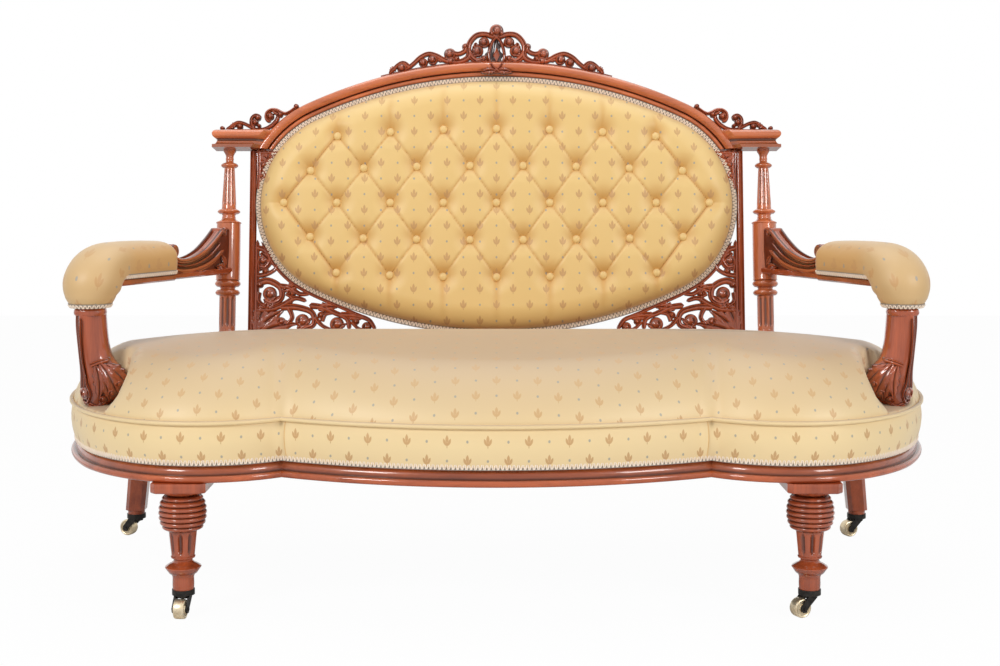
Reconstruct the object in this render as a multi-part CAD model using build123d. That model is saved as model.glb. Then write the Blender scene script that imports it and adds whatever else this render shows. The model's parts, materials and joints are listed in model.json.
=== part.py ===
from build123d import *
import math
import os

# A carved walnut settee with a bowed sprung seat, a tufted oval back and swivelling castors.
# Sizes are in millimetres and angles in degrees. Z counts up from the floor. Y counts back from the
# front of the seat's middle bow until the finished pieces are centred over the origin.

# Seat plan: a middle bow, then on each side four arcs that run into each other round to the back
BOW_RADIUS = 850
KNUCKLE_X = 545
KNUCKLE_RADIUS = 230
KNUCKLE_END = 34
BREAK_SPARE = 23.6
CHEEK_RADIUS = 380
CHEEK_END = 62
SIDE_RADIUS = 700
CORNER_RADIUS = 190

# Seat heights and sections
RAIL_BOTTOM = 253
MOULDING_HEIGHT = 30
MOULDING_DEPTH = 22
MOULDING_BEAD = 13
MOULDING_LIP = 5
MITRE_RUN_ON = 10
FRAME_HEIGHT = 87
FRAME_THICKNESS = 40
FRAME_BACK_LAP = 15
PIPING_HEIGHT = 362
PIPING_RADIUS = 4
PIPING_SIDES = 6
SEAT_CROWN = 497
CROWN_REACH = 125
CROWN_ROUNDING = 1100
CROWN_SHARES = (0.1, 0.3, 0.6, 1)
PAD_ARC_SIDES = 6
BOXING_INSET = 6
GIMP_HEIGHT = 14
GIMP_THICKNESS = 2.4
PAD_CLEARANCE = 0.3
WEB_WIDTH = 50
WEB_THICKNESS = 1.5
WEB_GAP = 90
CLOTH_THICKNESS = 1.2
CLOTH_MARGIN = 6
CORNER_BLOCK = 70
CORNER_BLOCK_HEIGHT = 45
SPRING_RADIUS = 42
SPRING_WAIST = 27
SPRING_COUNT = 7
SPRING_SIDES = 8

# Sides of every turning
TURNING_SIDES = 28

# Front legs: a square block, a ball of stacked ridges, a fluted taper, a ring and a turned foot
LEG_X = 575
LEG_Y = 86
LEG_BLOCK = 100
LEG_BLOCK_HEIGHT = 18
LEG_BLOCK_CHAMFER = 9
LEG_DISC_RADIUS = 41
LEG_DISC_HEIGHT = 9
BALL_RADIUS = 44
BALL_HEIGHT = 66
BALL_END_RADIUS = 30
BALL_RIDGES = 7
BALL_GROOVE = 4.5
TAPER_TOP_RADIUS = 25.5
TAPER_BOTTOM_RADIUS = 21.5
TAPER_HEIGHT = 51
TAPER_FLUTES = 8
TAPER_FLUTE_DEPTH = 5
TAPER_LAND = 0.6
LEG_NECK_RADIUS = 17
LEG_RING_RADIUS = 33
LEG_RING_HEIGHT = 16
LEG_FOOT_RADIUS = 18.7

# Back legs: square with chamfered corners, splayed out and raked back
BACK_LEG_TOP_X = 775
BACK_LEG_TOP_Y = 655
BACK_LEG_SPLAY = 36
BACK_LEG_RAKE = 77
BACK_LEG_WIDTH = 46
BACK_LEG_CHAMFER = 9
BACK_LEG_COLLAR = 16
BACK_LEG_TAPER = 0.92

# Castors: a cup on the leg, a swivelling horn and a brass wheel
WHEEL_RADIUS = 18
WHEEL_WIDTH = 21
AXLE_RADIUS = 3
AXLE_HEAD = 1.5
RUNNING_CLEARANCE = 0.05
WHEEL_SIDE_GAP = 0.6
HORN_TRAIL = 20
HORN_CHEEK = 3.6
HORN_PLATE_SIDES = 12
HORN_PLATE = 5
HORN_BOSS_RADIUS = 7
SWIVEL_PIN_RADIUS = 4
SWIVEL_HEAD_RADIUS = 6.2
SWIVEL_HEAD = 2
SWIVEL_GAP = 0.4
CUP_FLOOR = 3.5
CUP_HEIGHT = 10
CUP_WALL = 2
FOOT_HEIGHT = 44
CASTOR_HEADINGS = {"front_left": 265, "front_right": 205, "back_left": 160, "back_right": 200}

# Back: everything stands in one plane that leans back from a hinge line above the back rail
BACK_LINE_Y = 710
BACK_LINE_Z = 450
BACK_RAKE = 8
BACK_DEPTH = 14
OVAL_HALF_WIDTH = 539
OVAL_HALF_HEIGHT = 291
OVAL_CENTRE = 297
OVAL_END_RADIUS = 220
OVAL_ARC_SIDES = 12
OVAL_RING_WIDTH = 45
OVAL_RING_FRONT = 6
BACK_GIMP_WIDTH = 12
BACK_PAD_DEPTH = 50
BACK_PAD_EDGE = 30
BACK_PANEL = 2
ARCH_WIDTH = 31
ARCH_FRONT = 30
SHELF_OVERHANG = 34
SHELF_TOP = 474
SHELF_NOSE = 34
SHELF_BOTTOM = 421
SHELF_FRONT = 48
SHELF_COVE = 3.5
STILE_WIDTH = 14
STILE_FRONT = 8
BOTTOM_RAIL_HEIGHT = 50
BOTTOM_RAIL_TOP = 5
BOTTOM_RAIL_FRONT = 10

# Tufts of the back: rows of buttons in a diamond pattern
BUTTON_ROWS = [7, 8, 9, 8, 7]
BUTTON_PITCH = 118
BUTTON_ROW_PITCH = 83
BUTTON_RADIUS = 7
BUTTON_HEIGHT = 5
BUTTON_SIDES = 6
BUTTON_SLOPE = 25
TUFT_DEPTH = 24
PLEAT_SPREAD = 1.2

# Columns: radii and heights of the turning above the hinge line
COLUMN_GAP = 61
COLUMN_POST = 50
COLUMN_POST_TOP = 6
COLUMN_FOOT_RADIUS = 23
COLUMN_SHAFT_RADIUS = 18
COLUMN_RING_RADIUS = 27.5
COLUMN_DRUM_RADIUS = 26.5
COLUMN_DRUM_BOTTOM = 124
COLUMN_DRUM_TOP = 256
COLUMN_COLLAR_RADIUS = 25.5
COLUMN_COLLAR_HEIGHT = 281
COLUMN_NECK_RADIUS = 15.5
COLUMN_TOP_SHAFT_RADIUS = 11.4
COLUMN_SMALL_RING_RADIUS = 19.5
COLUMN_SMALL_RING_HEIGHT = 387
COLUMN_CAPITAL_RADIUS = 14
COLUMN_CAPITAL_NECK_RADIUS = 9.3
COLUMN_RING_HEIGHT = 12
COLUMN_BEAD_RADIUS = 29.5
COLUMN_FLUTES = 9
COLUMN_FLUTE_DEPTH = 2.6
COLUMN_LAND = 0.4

# Arms: a carved rail from the column to a scrolled support, with a stuffed pad on it
ARM_FRONT_X = 783
ARM_FRONT_Y = 252
ARM_BACK_Y = 722
ARM_BOTTOM = 593
ARM_RAIL_HEIGHT = 13
ARM_RAIL_WIDTH = 46
ARM_SCROLL_REACH = 200
ARM_SCROLL_RADIUS = 17
ARM_SCROLL_RISE = 62
ARM_HEEL_RISE = 91
ARM_PAD_RISE = 84
ARM_PAD_WIDTH = 98
ARM_PAD_END_WIDTH = 66
ARM_PAD_BASE = 0.8
ARM_PAD_OUTLINE = ((1, 0.3), (0.97, 0.56), (0.75, 0.84), (0.36, 0.98))
ARM_PAD_FALL = 8
ARM_GIMP_HEIGHT = 11
ARM_BULB_RADIUS = 54
ARM_BULB_SIDES = 16
ARM_BULB_END = 0.62
ARM_BULB_DROOP = 0.85
ARM_BULB_BANDS = 5
SUPPORT_DROP = 39
SUPPORT_DEPTH = 56
SUPPORT_WIDTH = 54
SUPPORT_FOOT_X = 772
SUPPORT_VOLUTE_RADIUS = 13
SUPPORT_KNEE = 96
SUPPORT_KNEE_REACH = 58
SUPPORT_LEAN = 11
SUPPORT_BEND = 5
SUPPORT_TENON_RADIUS = 11
SUPPORT_COLLAR = 12

# Carving: pierced scrolls cut from one board each
CARVING_THICKNESS = 14
FRET_THICKNESS = 12
CARVING_OVERLAP = 3
CREST_REACH = 262
CARVING_STRIP = 7
STROKE_STEPS = 10
EYE_SIDES = 10

# Reach of the cuts and clips that go right past the settee
FAR = 3000

BOW_CENTRE = Vector(0, BOW_RADIUS)
FRAME_TOP = RAIL_BOTTOM + FRAME_HEIGHT
MOULDING_TOP = RAIL_BOTTOM + MOULDING_HEIGHT
COLUMN_X = OVAL_HALF_WIDTH + COLUMN_GAP
SHELF_END = COLUMN_X + SHELF_OVERHANG
FRAME_BACK_REACH = COLUMN_X + COLUMN_POST / 2 + FRAME_BACK_LAP
ARM_SCROLL_HEIGHT = ARM_BOTTOM + ARM_SCROLL_RISE
ARM_HEEL_HEIGHT = ARM_BOTTOM + ARM_HEEL_RISE
ARM_PAD_TOP = ARM_BOTTOM + ARM_PAD_RISE
SUPPORT_TOP = ARM_BOTTOM - SUPPORT_DROP
BACK_PLANE = Plane(
    origin=(0, BACK_LINE_Y, BACK_LINE_Z),
    x_dir=(1, 0, 0),
    z_dir=(0, -math.cos(math.radians(BACK_RAKE)), math.sin(math.radians(BACK_RAKE))),
)


def inward(angle):
    """Unit vector into the seat where the left side of the plan runs at this angle to the front."""
    turn = math.radians(angle)
    return Vector(math.sin(turn), math.cos(turn))


# The bow and the knuckle still cross where the dome's innermost section draws both of them in
KNUCKLE_DISTANCE = BOW_RADIUS + KNUCKLE_RADIUS - 2 * (BOXING_INSET + CROWN_REACH) - BREAK_SPARE
KNUCKLE_CENTRE = Vector(-KNUCKLE_X, BOW_RADIUS - math.sqrt(KNUCKLE_DISTANCE**2 - KNUCKLE_X**2))
CHEEK_CENTRE = KNUCKLE_CENTRE + inward(KNUCKLE_END) * (CHEEK_RADIUS - KNUCKLE_RADIUS)
SIDE_CENTRE = CHEEK_CENTRE + inward(CHEEK_END) * (SIDE_RADIUS - CHEEK_RADIUS)
CORNER_CENTRE = SIDE_CENTRE - inward(90) * (SIDE_RADIUS - CORNER_RADIUS)
SEAT_BACK_Y = CORNER_CENTRE.Y + CORNER_RADIUS


def plan_arc(centre, radius, start, end):
    """Arc of the plan's left side, between two angles of the outline to the front."""
    ends = [centre - inward(angle) * radius for angle in (start, (start + end) / 2, end)]
    return ThreePointArc(*ends)


def break_point(inset):
    """Where the middle bow meets the left knuckle, with both drawn in by the inset."""
    bow = BOW_RADIUS - inset
    knuckle = KNUCKLE_RADIUS - inset
    between = KNUCKLE_CENTRE - BOW_CENTRE
    along = (bow**2 - knuckle**2 + between.length**2) / (2 * between.length)
    across = math.sqrt(bow**2 - along**2)
    unit = between.normalized()
    return BOW_CENTRE + unit * along + Vector(-unit.Y, unit.X) * across


def break_angle(inset):
    """Angle of the knuckle's arc at the break."""
    towards = KNUCKLE_CENTRE - break_point(inset)
    return math.degrees(math.atan2(towards.X, towards.Y))


def left_edges(inset, early=0):
    """The plan's left side from the break to the back, starting earlier by an angle if asked."""
    return [
        plan_arc(KNUCKLE_CENTRE, KNUCKLE_RADIUS - inset, break_angle(inset) - early, KNUCKLE_END),
        plan_arc(CHEEK_CENTRE, CHEEK_RADIUS - inset, KNUCKLE_END, CHEEK_END),
        plan_arc(SIDE_CENTRE, SIDE_RADIUS - inset, CHEEK_END, 90),
        plan_arc(CORNER_CENTRE, CORNER_RADIUS - inset, 90, 180),
    ]


def seat_face(inset, height=0):
    """The whole seat plan, drawn in by the inset, at a height."""
    bow = bow_arc(inset)
    left = left_edges(inset)
    right = [mirror(edge, about=Plane.YZ) for edge in left]
    back = Line((CORNER_CENTRE.X, SEAT_BACK_Y - inset), (-CORNER_CENTRE.X, SEAT_BACK_Y - inset))
    return Pos(0, 0, height) * make_face([bow, *left, back, *right])


def seat_polygon(inset, height):
    """The seat plan with short straight sides, for the soft pad."""
    arcs = [bow_arc(inset), *left_edges(inset)]
    left = [arc @ (side / PAD_ARC_SIDES) for arc in arcs[1:] for side in range(PAD_ARC_SIDES)]
    left.append(arcs[-1] @ 1)
    bow = [arcs[0] @ (side / PAD_ARC_SIDES) for side in range(1, PAD_ARC_SIDES)]
    right = [Vector(-point.X, point.Y) for point in reversed(left)]
    return Pos(0, 0, height) * make_face(Polyline(*bow, *left, *right, close=True))


def seat_slab(inset, low, high):
    """The seat plan, drawn in by the inset, as a slab between two heights."""
    return extrude(seat_face(inset, low), high - low, dir=(0, 0, 1))


def block(low, high):
    """Box between two corners."""
    size = [b - a for a, b in zip(low, high)]
    middle = [(a + b) / 2 for a, b in zip(low, high)]
    return Pos(*middle) * Box(*size)


def right_of(shape):
    """Mirror image on the other side of the settee."""
    return mirror(shape, about=Plane.YZ)


def swept(profile, arcs):
    """Section of outward reach and height, carried round each of a row of level arcs or lines."""
    body = Part()
    for arc in arcs:
        along = arc % 0
        frame = Plane(origin=arc @ 0, x_dir=Vector(0, 0, 1).cross(along), z_dir=along)
        if arc.geom_type == GeomType.LINE:
            body += extrude(frame * profile, arc.length)
        else:
            axis = Axis(arc.arc_center, (0, 0, -1))
            turn = math.degrees(arc.length / arc.radius)
            body += revolve(frame * profile, axis=axis, revolution_arc=turn)
    return body


def turned(steps):
    """Many-sided turning about Z, through pairs of height and radius."""
    sections = [Pos(0, 0, height) * RegularPolygon(radius, TURNING_SIDES) for height, radius in steps]
    return loft(sections, ruled=True)


def fluted_outline(count, outer, inner, land):
    """Outline of flutes round a circle, with a land of a given share of the pitch between them."""
    pitch = 2 * math.pi / count
    corners = []
    for index in range(count):
        for radius, share in ((outer, -land / 2), (outer, land / 2), (inner, 1 / 2)):
            turn = (index + share) * pitch
            corners.append((radius * math.cos(turn), radius * math.sin(turn)))
    return make_face(Polyline(*corners, close=True))


def fluted(count, depth, land, levels):
    """Fluted stretch of a turning, through levels of height and outer radius."""
    sections = [
        Pos(0, 0, height) * fluted_outline(count, radius, radius - depth, land) for height, radius in levels
    ]
    return loft(sections, ruled=True)


# Seat


def moulding_profile():
    """Walnut rim below the upholstery: a bead with a cove above it, planted on the frame."""
    bead_top = RAIL_BOTTOM + MOULDING_BEAD
    bead_side = MOULDING_BEAD / 3
    lip = -MOULDING_DEPTH + MOULDING_LIP
    return make_face(Polyline(
        (-MOULDING_DEPTH, RAIL_BOTTOM),
        (-bead_side, RAIL_BOTTOM),
        (0, RAIL_BOTTOM + bead_side),
        (0, bead_top - bead_side),
        (-bead_side, bead_top),
        (-2 * bead_side, bead_top),
        (lip + MOULDING_LIP / 2, (bead_top + MOULDING_TOP) / 2),
        (lip, MOULDING_TOP),
        (-MOULDING_DEPTH, MOULDING_TOP),
        close=True,
    ))


def side_zone(low, high):
    """Box that holds the left end of the seat, up to the break in front and the back rail behind."""
    corner = break_point(0).X
    middle_depth = SEAT_BACK_Y / 2
    front = block((-FAR, -FAR, low), (corner, middle_depth, high))
    rear = block((-FAR, middle_depth, low), (-FRAME_BACK_REACH, FAR, high))
    return front + rear


def bow_arc(inset, beyond=0):
    """The middle bow from right to left, drawn in by the inset and run on past both breaks if asked."""
    corner = break_point(inset)
    radius = BOW_RADIUS - inset
    reach = math.asin(-corner.X / radius) + math.radians(beyond)
    end = (radius * math.sin(reach), BOW_RADIUS - radius * math.cos(reach))
    return ThreePointArc(end, (0, inset), (-end[0], end[1]))


def seat_mouldings():
    """Front, left, right and back lengths of the rim, cut square at the breaks."""
    corner = break_point(0)
    inside = seat_slab(MOULDING_DEPTH, RAIL_BOTTOM, MOULDING_TOP)
    front_zone = block((corner.X, -FAR, 0), (-corner.X, SEAT_BACK_Y / 2, SEAT_CROWN))
    front = (swept(moulding_profile(), [bow_arc(0, beyond=MITRE_RUN_ON)]) & front_zone) - inside
    tail = Line((CORNER_CENTRE.X, SEAT_BACK_Y), (-FRAME_BACK_REACH, SEAT_BACK_Y))
    left = swept(moulding_profile(), [*left_edges(0, early=MITRE_RUN_ON), tail]) & side_zone(0, SEAT_CROWN)
    left -= inside
    straight = Line((-FRAME_BACK_REACH, SEAT_BACK_Y), (FRAME_BACK_REACH, SEAT_BACK_Y))
    back = swept(moulding_profile(), [straight])
    return front, left, right_of(left), back


def seat_frames():
    """Beech rails behind the rim: front, left, right and back."""
    ring = seat_slab(MOULDING_DEPTH, RAIL_BOTTOM, FRAME_TOP)
    ring -= seat_slab(MOULDING_DEPTH + FRAME_THICKNESS, RAIL_BOTTOM, FRAME_TOP)
    left = ring & side_zone(0, SEAT_CROWN)
    rest = ring - left - right_of(left)
    halfway = SEAT_BACK_Y / 2
    front = rest & block((-FAR, -FAR, 0), (FAR, halfway, SEAT_CROWN))
    back = rest & block((-FAR, halfway, 0), (FAR, FAR, SEAT_CROWN))
    return front, left, right_of(left), back


def crown_section(share):
    """Inset and height of the seat's dome at a share of the way in from the piping."""
    rise = SEAT_CROWN - PIPING_HEIGHT
    return BOXING_INSET + CROWN_REACH * share, PIPING_HEIGHT + rise * math.sin(math.pi / 2 * share) ** 0.8


def seat_pad():
    """Sprung stuffing in one soft solid: boxing round the frame and a dome above the piping."""
    boxing_middle = (MOULDING_TOP + PIPING_HEIGHT) / 2
    sections = [
        seat_polygon(BOXING_INSET + GIMP_THICKNESS, MOULDING_TOP + PAD_CLEARANCE),
        seat_polygon(BOXING_INSET / 2, boxing_middle),
        seat_polygon(BOXING_INSET + PAD_CLEARANCE, PIPING_HEIGHT),
    ]
    for share in CROWN_SHARES:
        inset, height = crown_section(share)
        sections.append(seat_polygon(inset, height))
    pad = loft(sections, ruled=True)
    crown = Rot(0, 90, 0) * Cylinder(CROWN_ROUNDING, FAR)
    pad &= Pos(0, SEAT_BACK_Y / 2, SEAT_CROWN - CROWN_ROUNDING) * crown
    pad -= seat_slab(MOULDING_DEPTH - PAD_CLEARANCE, 0, FRAME_TOP + PAD_CLEARANCE)
    pad -= back_notch()
    for side in (1, -1):
        pad -= support_foot_room(side)
    return pad


def back_reach():
    """Half width of the gap in the upholstery behind the seat, just outside the columns."""
    return COLUMN_X + COLUMN_POST / 2 + PAD_CLEARANCE


def back_return(inset):
    """Straight end of the upholstery's edge behind the left column."""
    depth = SEAT_BACK_Y - inset
    return Line((CORNER_CENTRE.X, depth), (-back_reach(), depth))


def back_notch():
    """Room behind the seat for the columns and the upholstered back, with the back's own lean."""
    reach = back_reach()
    front = max(COLUMN_POST / 2, COLUMN_RING_RADIUS, BACK_PAD_DEPTH + OVAL_RING_FRONT) + PAD_CLEARANCE
    return BACK_PLANE * block((-reach, -FAR, -FAR), (reach, FAR, front))


def seat_piping():
    """Covered cord along the top edge of the boxing, cut away under the arm supports."""
    inset = BOXING_INSET - PIPING_RADIUS
    section = Pos(0, PIPING_HEIGHT) * RegularPolygon(PIPING_RADIUS, PIPING_SIDES)
    left = swept(section, left_edges(inset))
    left += swept(section, [back_return(inset)])
    cord = left + swept(section, [bow_arc(inset)]) + right_of(left)
    for side in (1, -1):
        cord -= support_foot_room(side)
    return cord


def seat_gimp():
    """Flat braid that hides the tacks where the boxing meets the rim."""
    inset = BOXING_INSET - PAD_CLEARANCE
    low = MOULDING_TOP + PAD_CLEARANCE
    band = Pos(GIMP_THICKNESS / 2, low + GIMP_HEIGHT / 2) * Rectangle(GIMP_THICKNESS, GIMP_HEIGHT)
    left = swept(band, left_edges(inset))
    left += swept(band, [back_return(inset)])
    return left + swept(band, [bow_arc(inset)]) + right_of(left)


def seat_webbing():
    """Two crossing sets of straps tacked under the frame."""
    inset = MOULDING_DEPTH + FRAME_THICKNESS / 2
    room = seat_slab(inset, 0, RAIL_BOTTOM) - leg_rooms()
    pitch = WEB_WIDTH + WEB_GAP
    long_count = int((SEAT_BACK_Y - 4 * inset) / pitch)
    cross_count = int(2 * (LEG_X + LEG_BLOCK) / pitch)
    straps = []
    for index in range(long_count):
        y = SEAT_BACK_Y / 2 + (index - (long_count - 1) / 2) * pitch
        straps.append(Pos(0, y, RAIL_BOTTOM - WEB_THICKNESS / 2) * Box(FAR, WEB_WIDTH, WEB_THICKNESS))
    for index in range(cross_count):
        x = (index - (cross_count - 1) / 2) * pitch
        straps.append(Pos(x, 0, RAIL_BOTTOM - WEB_THICKNESS * 1.5) * Box(WEB_WIDTH, FAR, WEB_THICKNESS))
    woven = Part() + straps
    return woven & room


def leg_rooms():
    """Square clearances round the four legs below the frame."""
    rooms = Part()
    for side in (-1, 1):
        half = LEG_BLOCK / 2 + PAD_CLEARANCE
        rooms += block(
            (side * LEG_X - half, LEG_Y - half, 0), (side * LEG_X + half, LEG_Y + half, RAIL_BOTTOM)
        )
        half = BACK_LEG_WIDTH
        x = side * BACK_LEG_TOP_X
        rooms += block((x - half, BACK_LEG_TOP_Y - half, 0), (x + half, BACK_LEG_TOP_Y + half, RAIL_BOTTOM))
    return rooms


def seat_bottom_cloth():
    """Black cloth over the webbing, trimmed round the legs."""
    high = RAIL_BOTTOM - 2 * WEB_THICKNESS
    return seat_slab(MOULDING_DEPTH + CLOTH_MARGIN, high - CLOTH_THICKNESS, high) - leg_rooms()


def corner_blocks():
    """Glued blocks inside the frame behind each leg."""
    inset = MOULDING_DEPTH + FRAME_THICKNESS
    low = RAIL_BOTTOM + WEB_THICKNESS
    inside = seat_slab(inset, low, low + CORNER_BLOCK_HEIGHT)
    reach = LEG_Y + CORNER_BLOCK
    front = block((-LEG_X - CORNER_BLOCK, 0, 0), (-LEG_X + CORNER_BLOCK, reach, FRAME_TOP)) & inside
    corner = CORNER_CENTRE + Vector(-1, 1).normalized() * (CORNER_RADIUS - inset)
    cube = Box(2 * CORNER_BLOCK, 2 * CORNER_BLOCK, 2 * FRAME_HEIGHT)
    rear = (Pos(corner.X, corner.Y, RAIL_BOTTOM) * Rot(0, 0, 45) * cube) & inside
    pieces = [front, rear, right_of(front), right_of(rear)]
    return Compound(children=[solid for piece in pieces for solid in piece.solids()])


def seat_springs():
    """Hourglass springs in a row on the webbing, each as the outline of its coils."""
    height = FRAME_TOP - RAIL_BOTTOM
    lean = math.degrees(math.atan2(SPRING_RADIUS - SPRING_WAIST, height / 2))
    lower = extrude(RegularPolygon(SPRING_RADIUS, SPRING_SIDES, major_radius=False), height / 2, taper=lean)
    spring = lower + mirror(lower, about=Plane.XY.offset(height / 2))
    pitch = 2 * LEG_X / SPRING_COUNT
    places = [(index - (SPRING_COUNT - 1) / 2) * pitch for index in range(SPRING_COUNT)]
    return Compound(children=[(Pos(x, SEAT_BACK_Y / 2, RAIL_BOTTOM) * spring).solid() for x in places])


# Legs and castors


def front_leg():
    """Left front leg: a chamfered block over a ridged ball, a fluted taper, a ring and a foot."""
    block_low = RAIL_BOTTOM - LEG_BLOCK_HEIGHT
    ball_top = block_low - LEG_DISC_HEIGHT
    taper_top = ball_top - BALL_HEIGHT
    taper_low = taper_top - TAPER_HEIGHT
    ring_top = taper_low - LEG_RING_HEIGHT * 0.75
    ring_low = ring_top - LEG_RING_HEIGHT
    ring_edge = LEG_RING_HEIGHT / 4
    foot = turned([
        (FOOT_HEIGHT, LEG_FOOT_RADIUS),
        (ring_low - LEG_RING_HEIGHT / 2, LEG_FOOT_RADIUS),
        (ring_low, LEG_RING_RADIUS - 2 * ring_edge),
        (ring_top - ring_edge, LEG_RING_RADIUS),
        (ring_top, LEG_RING_RADIUS - 2 * ring_edge),
        (taper_low - ring_edge, LEG_NECK_RADIUS),
        (taper_low, TAPER_BOTTOM_RADIUS),
    ])
    taper = fluted(TAPER_FLUTES, TAPER_FLUTE_DEPTH, TAPER_LAND, [
        (taper_low, TAPER_BOTTOM_RADIUS),
        (taper_top, TAPER_TOP_RADIUS),
    ])
    ball = ridged_ball(taper_top)
    disc = Pos(0, 0, block_low - LEG_DISC_HEIGHT / 2) * Cylinder(LEG_DISC_RADIUS, LEG_DISC_HEIGHT)
    square = extrude(Pos(0, 0, block_low) * chamfered_square(LEG_BLOCK, LEG_BLOCK_CHAMFER), LEG_BLOCK_HEIGHT)
    return Pos(-LEG_X, LEG_Y, 0) * (foot + taper + ball + disc + square)


def ridged_ball(low):
    """Ball of a front leg, cut into ridges that lie one over the other."""
    steps = []
    for index in range(2 * BALL_RIDGES + 1):
        share = index / BALL_RIDGES - 1
        swell = (BALL_RADIUS - BALL_END_RADIUS) * math.sqrt(1 - share**2)
        groove = BALL_GROOVE * (1 - index % 2)
        steps.append((low + (1 + share) * BALL_HEIGHT / 2, BALL_END_RADIUS + swell - groove))
    return turned(steps)


def chamfered_square(width, corner):
    """Square outline with its corners cut off."""
    square = Rectangle(width, width)
    return chamfer(square.vertices(), corner)


def back_leg():
    """Left back leg, splayed and raked, with a turned end for the castor."""
    section = chamfered_square(BACK_LEG_WIDTH, BACK_LEG_CHAMFER)
    foot = section.scale(BACK_LEG_TAPER)
    low = FOOT_HEIGHT + BACK_LEG_COLLAR
    top = Pos(-BACK_LEG_TOP_X, BACK_LEG_TOP_Y, RAIL_BOTTOM) * section
    end = Pos(-BACK_LEG_TOP_X - BACK_LEG_SPLAY, BACK_LEG_TOP_Y + BACK_LEG_RAKE, low) * foot
    leg = loft([end, top], ruled=True)
    centre = back_foot()
    tenon = Pos(centre.X, centre.Y, (FOOT_HEIGHT + low) / 2) * Cylinder(LEG_FOOT_RADIUS, BACK_LEG_COLLAR)
    return leg + tenon


def back_foot():
    """Middle of the left back leg's lower end, in plan."""
    return Vector(-BACK_LEG_TOP_X - BACK_LEG_SPLAY, BACK_LEG_TOP_Y + BACK_LEG_RAKE)


def castor_places():
    """Swivel axis of each castor, in plan."""
    rear = back_foot()
    return {
        "front_left": Vector(-LEG_X, LEG_Y),
        "front_right": Vector(LEG_X, LEG_Y),
        "back_left": rear,
        "back_right": Vector(-rear.X, rear.Y),
    }


def castor_cup():
    """Cup that fits the end of a leg, with the headed pin that the horn turns on."""
    low = FOOT_HEIGHT - CUP_FLOOR
    plate_low = low - SWIVEL_GAP - HORN_PLATE
    outer = LEG_FOOT_RADIUS + CUP_WALL
    cup = Pos(0, 0, low + CUP_HEIGHT / 2) * Cylinder(outer, CUP_HEIGHT)
    cup -= Pos(0, 0, FOOT_HEIGHT + CUP_HEIGHT / 2) * Cylinder(LEG_FOOT_RADIUS, CUP_HEIGHT)
    pin_low = plate_low - SWIVEL_GAP
    pin = Pos(0, 0, (pin_low + low) / 2) * Cylinder(SWIVEL_PIN_RADIUS, low - pin_low)
    head = Pos(0, 0, pin_low - SWIVEL_HEAD / 2) * Cylinder(SWIVEL_HEAD_RADIUS, SWIVEL_HEAD)
    return cup + pin + head


def castor_horn():
    """Fork that swivels under the cup and trails along +X, with its axle riveted in."""
    top = FOOT_HEIGHT - CUP_FLOOR - SWIVEL_GAP
    plate_low = top - HORN_PLATE
    inside = WHEEL_WIDTH / 2 + WHEEL_SIDE_GAP
    outside = inside + HORN_CHEEK
    plate = extrude(Pos(0, 0, plate_low) * RegularPolygon(outside, HORN_PLATE_SIDES), HORN_PLATE)
    outline = make_face(Polyline(
        (-HORN_PLATE, top),
        (HORN_TRAIL * 0.6, top),
        (HORN_TRAIL + HORN_BOSS_RADIUS, WHEEL_RADIUS + HORN_BOSS_RADIUS / 2),
        (HORN_TRAIL + HORN_BOSS_RADIUS, WHEEL_RADIUS - HORN_BOSS_RADIUS / 2),
        (HORN_TRAIL + HORN_BOSS_RADIUS / 2, WHEEL_RADIUS - HORN_BOSS_RADIUS),
        (HORN_TRAIL - HORN_BOSS_RADIUS / 2, WHEEL_RADIUS - HORN_BOSS_RADIUS),
        (HORN_TRAIL - HORN_BOSS_RADIUS, WHEEL_RADIUS),
        (-HORN_PLATE, plate_low),
        close=True,
    ))
    cheek = extrude(Plane.XZ * outline, HORN_CHEEK)
    cheeks = Pos(0, outside, 0) * cheek + Pos(0, -inside, 0) * cheek
    wheel_room = WHEEL_RADIUS + 2 * WHEEL_SIDE_GAP
    hub = Pos(HORN_TRAIL, 0, WHEEL_RADIUS) * Rot(90, 0, 0)
    plate -= hub * Cylinder(wheel_room, 2 * inside)
    hole = Pos(0, 0, top) * Cylinder(SWIVEL_PIN_RADIUS + RUNNING_CLEARANCE, 4 * HORN_PLATE)
    return plate + cheeks - hole + hub * Cylinder(AXLE_RADIUS, 2 * (outside + AXLE_HEAD))


def castor_wheel():
    """Brass wheel at the end of the horn's trail."""
    wheel = Cylinder(WHEEL_RADIUS, WHEEL_WIDTH)
    wheel -= Cylinder(AXLE_RADIUS + RUNNING_CLEARANCE, 2 * WHEEL_WIDTH)
    return Pos(HORN_TRAIL, 0, WHEEL_RADIUS) * Rot(90, 0, 0) * wheel


# Back


def oval_edges(grow):
    """Four arcs of the oval, grown or drawn in, in the plane of the back."""
    end_reach = OVAL_HALF_WIDTH - OVAL_END_RADIUS
    main_radius = (end_reach**2 + OVAL_HALF_HEIGHT**2 - OVAL_END_RADIUS**2) / (
        2 * (OVAL_HALF_HEIGHT - OVAL_END_RADIUS)
    )
    drop = main_radius - OVAL_HALF_HEIGHT
    lean = math.atan2(end_reach, drop)
    tip_x = (main_radius + grow) * math.sin(lean)
    tip_y = (main_radius + grow) * math.cos(lean) - drop
    wide = OVAL_HALF_WIDTH + grow
    tall = OVAL_HALF_HEIGHT + grow
    arcs = [
        ThreePointArc((-tip_x, tip_y), (0, tall), (tip_x, tip_y)),
        ThreePointArc((tip_x, tip_y), (wide, 0), (tip_x, -tip_y)),
        ThreePointArc((tip_x, -tip_y), (0, -tall), (-tip_x, -tip_y)),
        ThreePointArc((-tip_x, -tip_y), (-wide, 0), (-tip_x, tip_y)),
    ]
    return [Pos(0, OVAL_CENTRE) * arc for arc in arcs]


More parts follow.
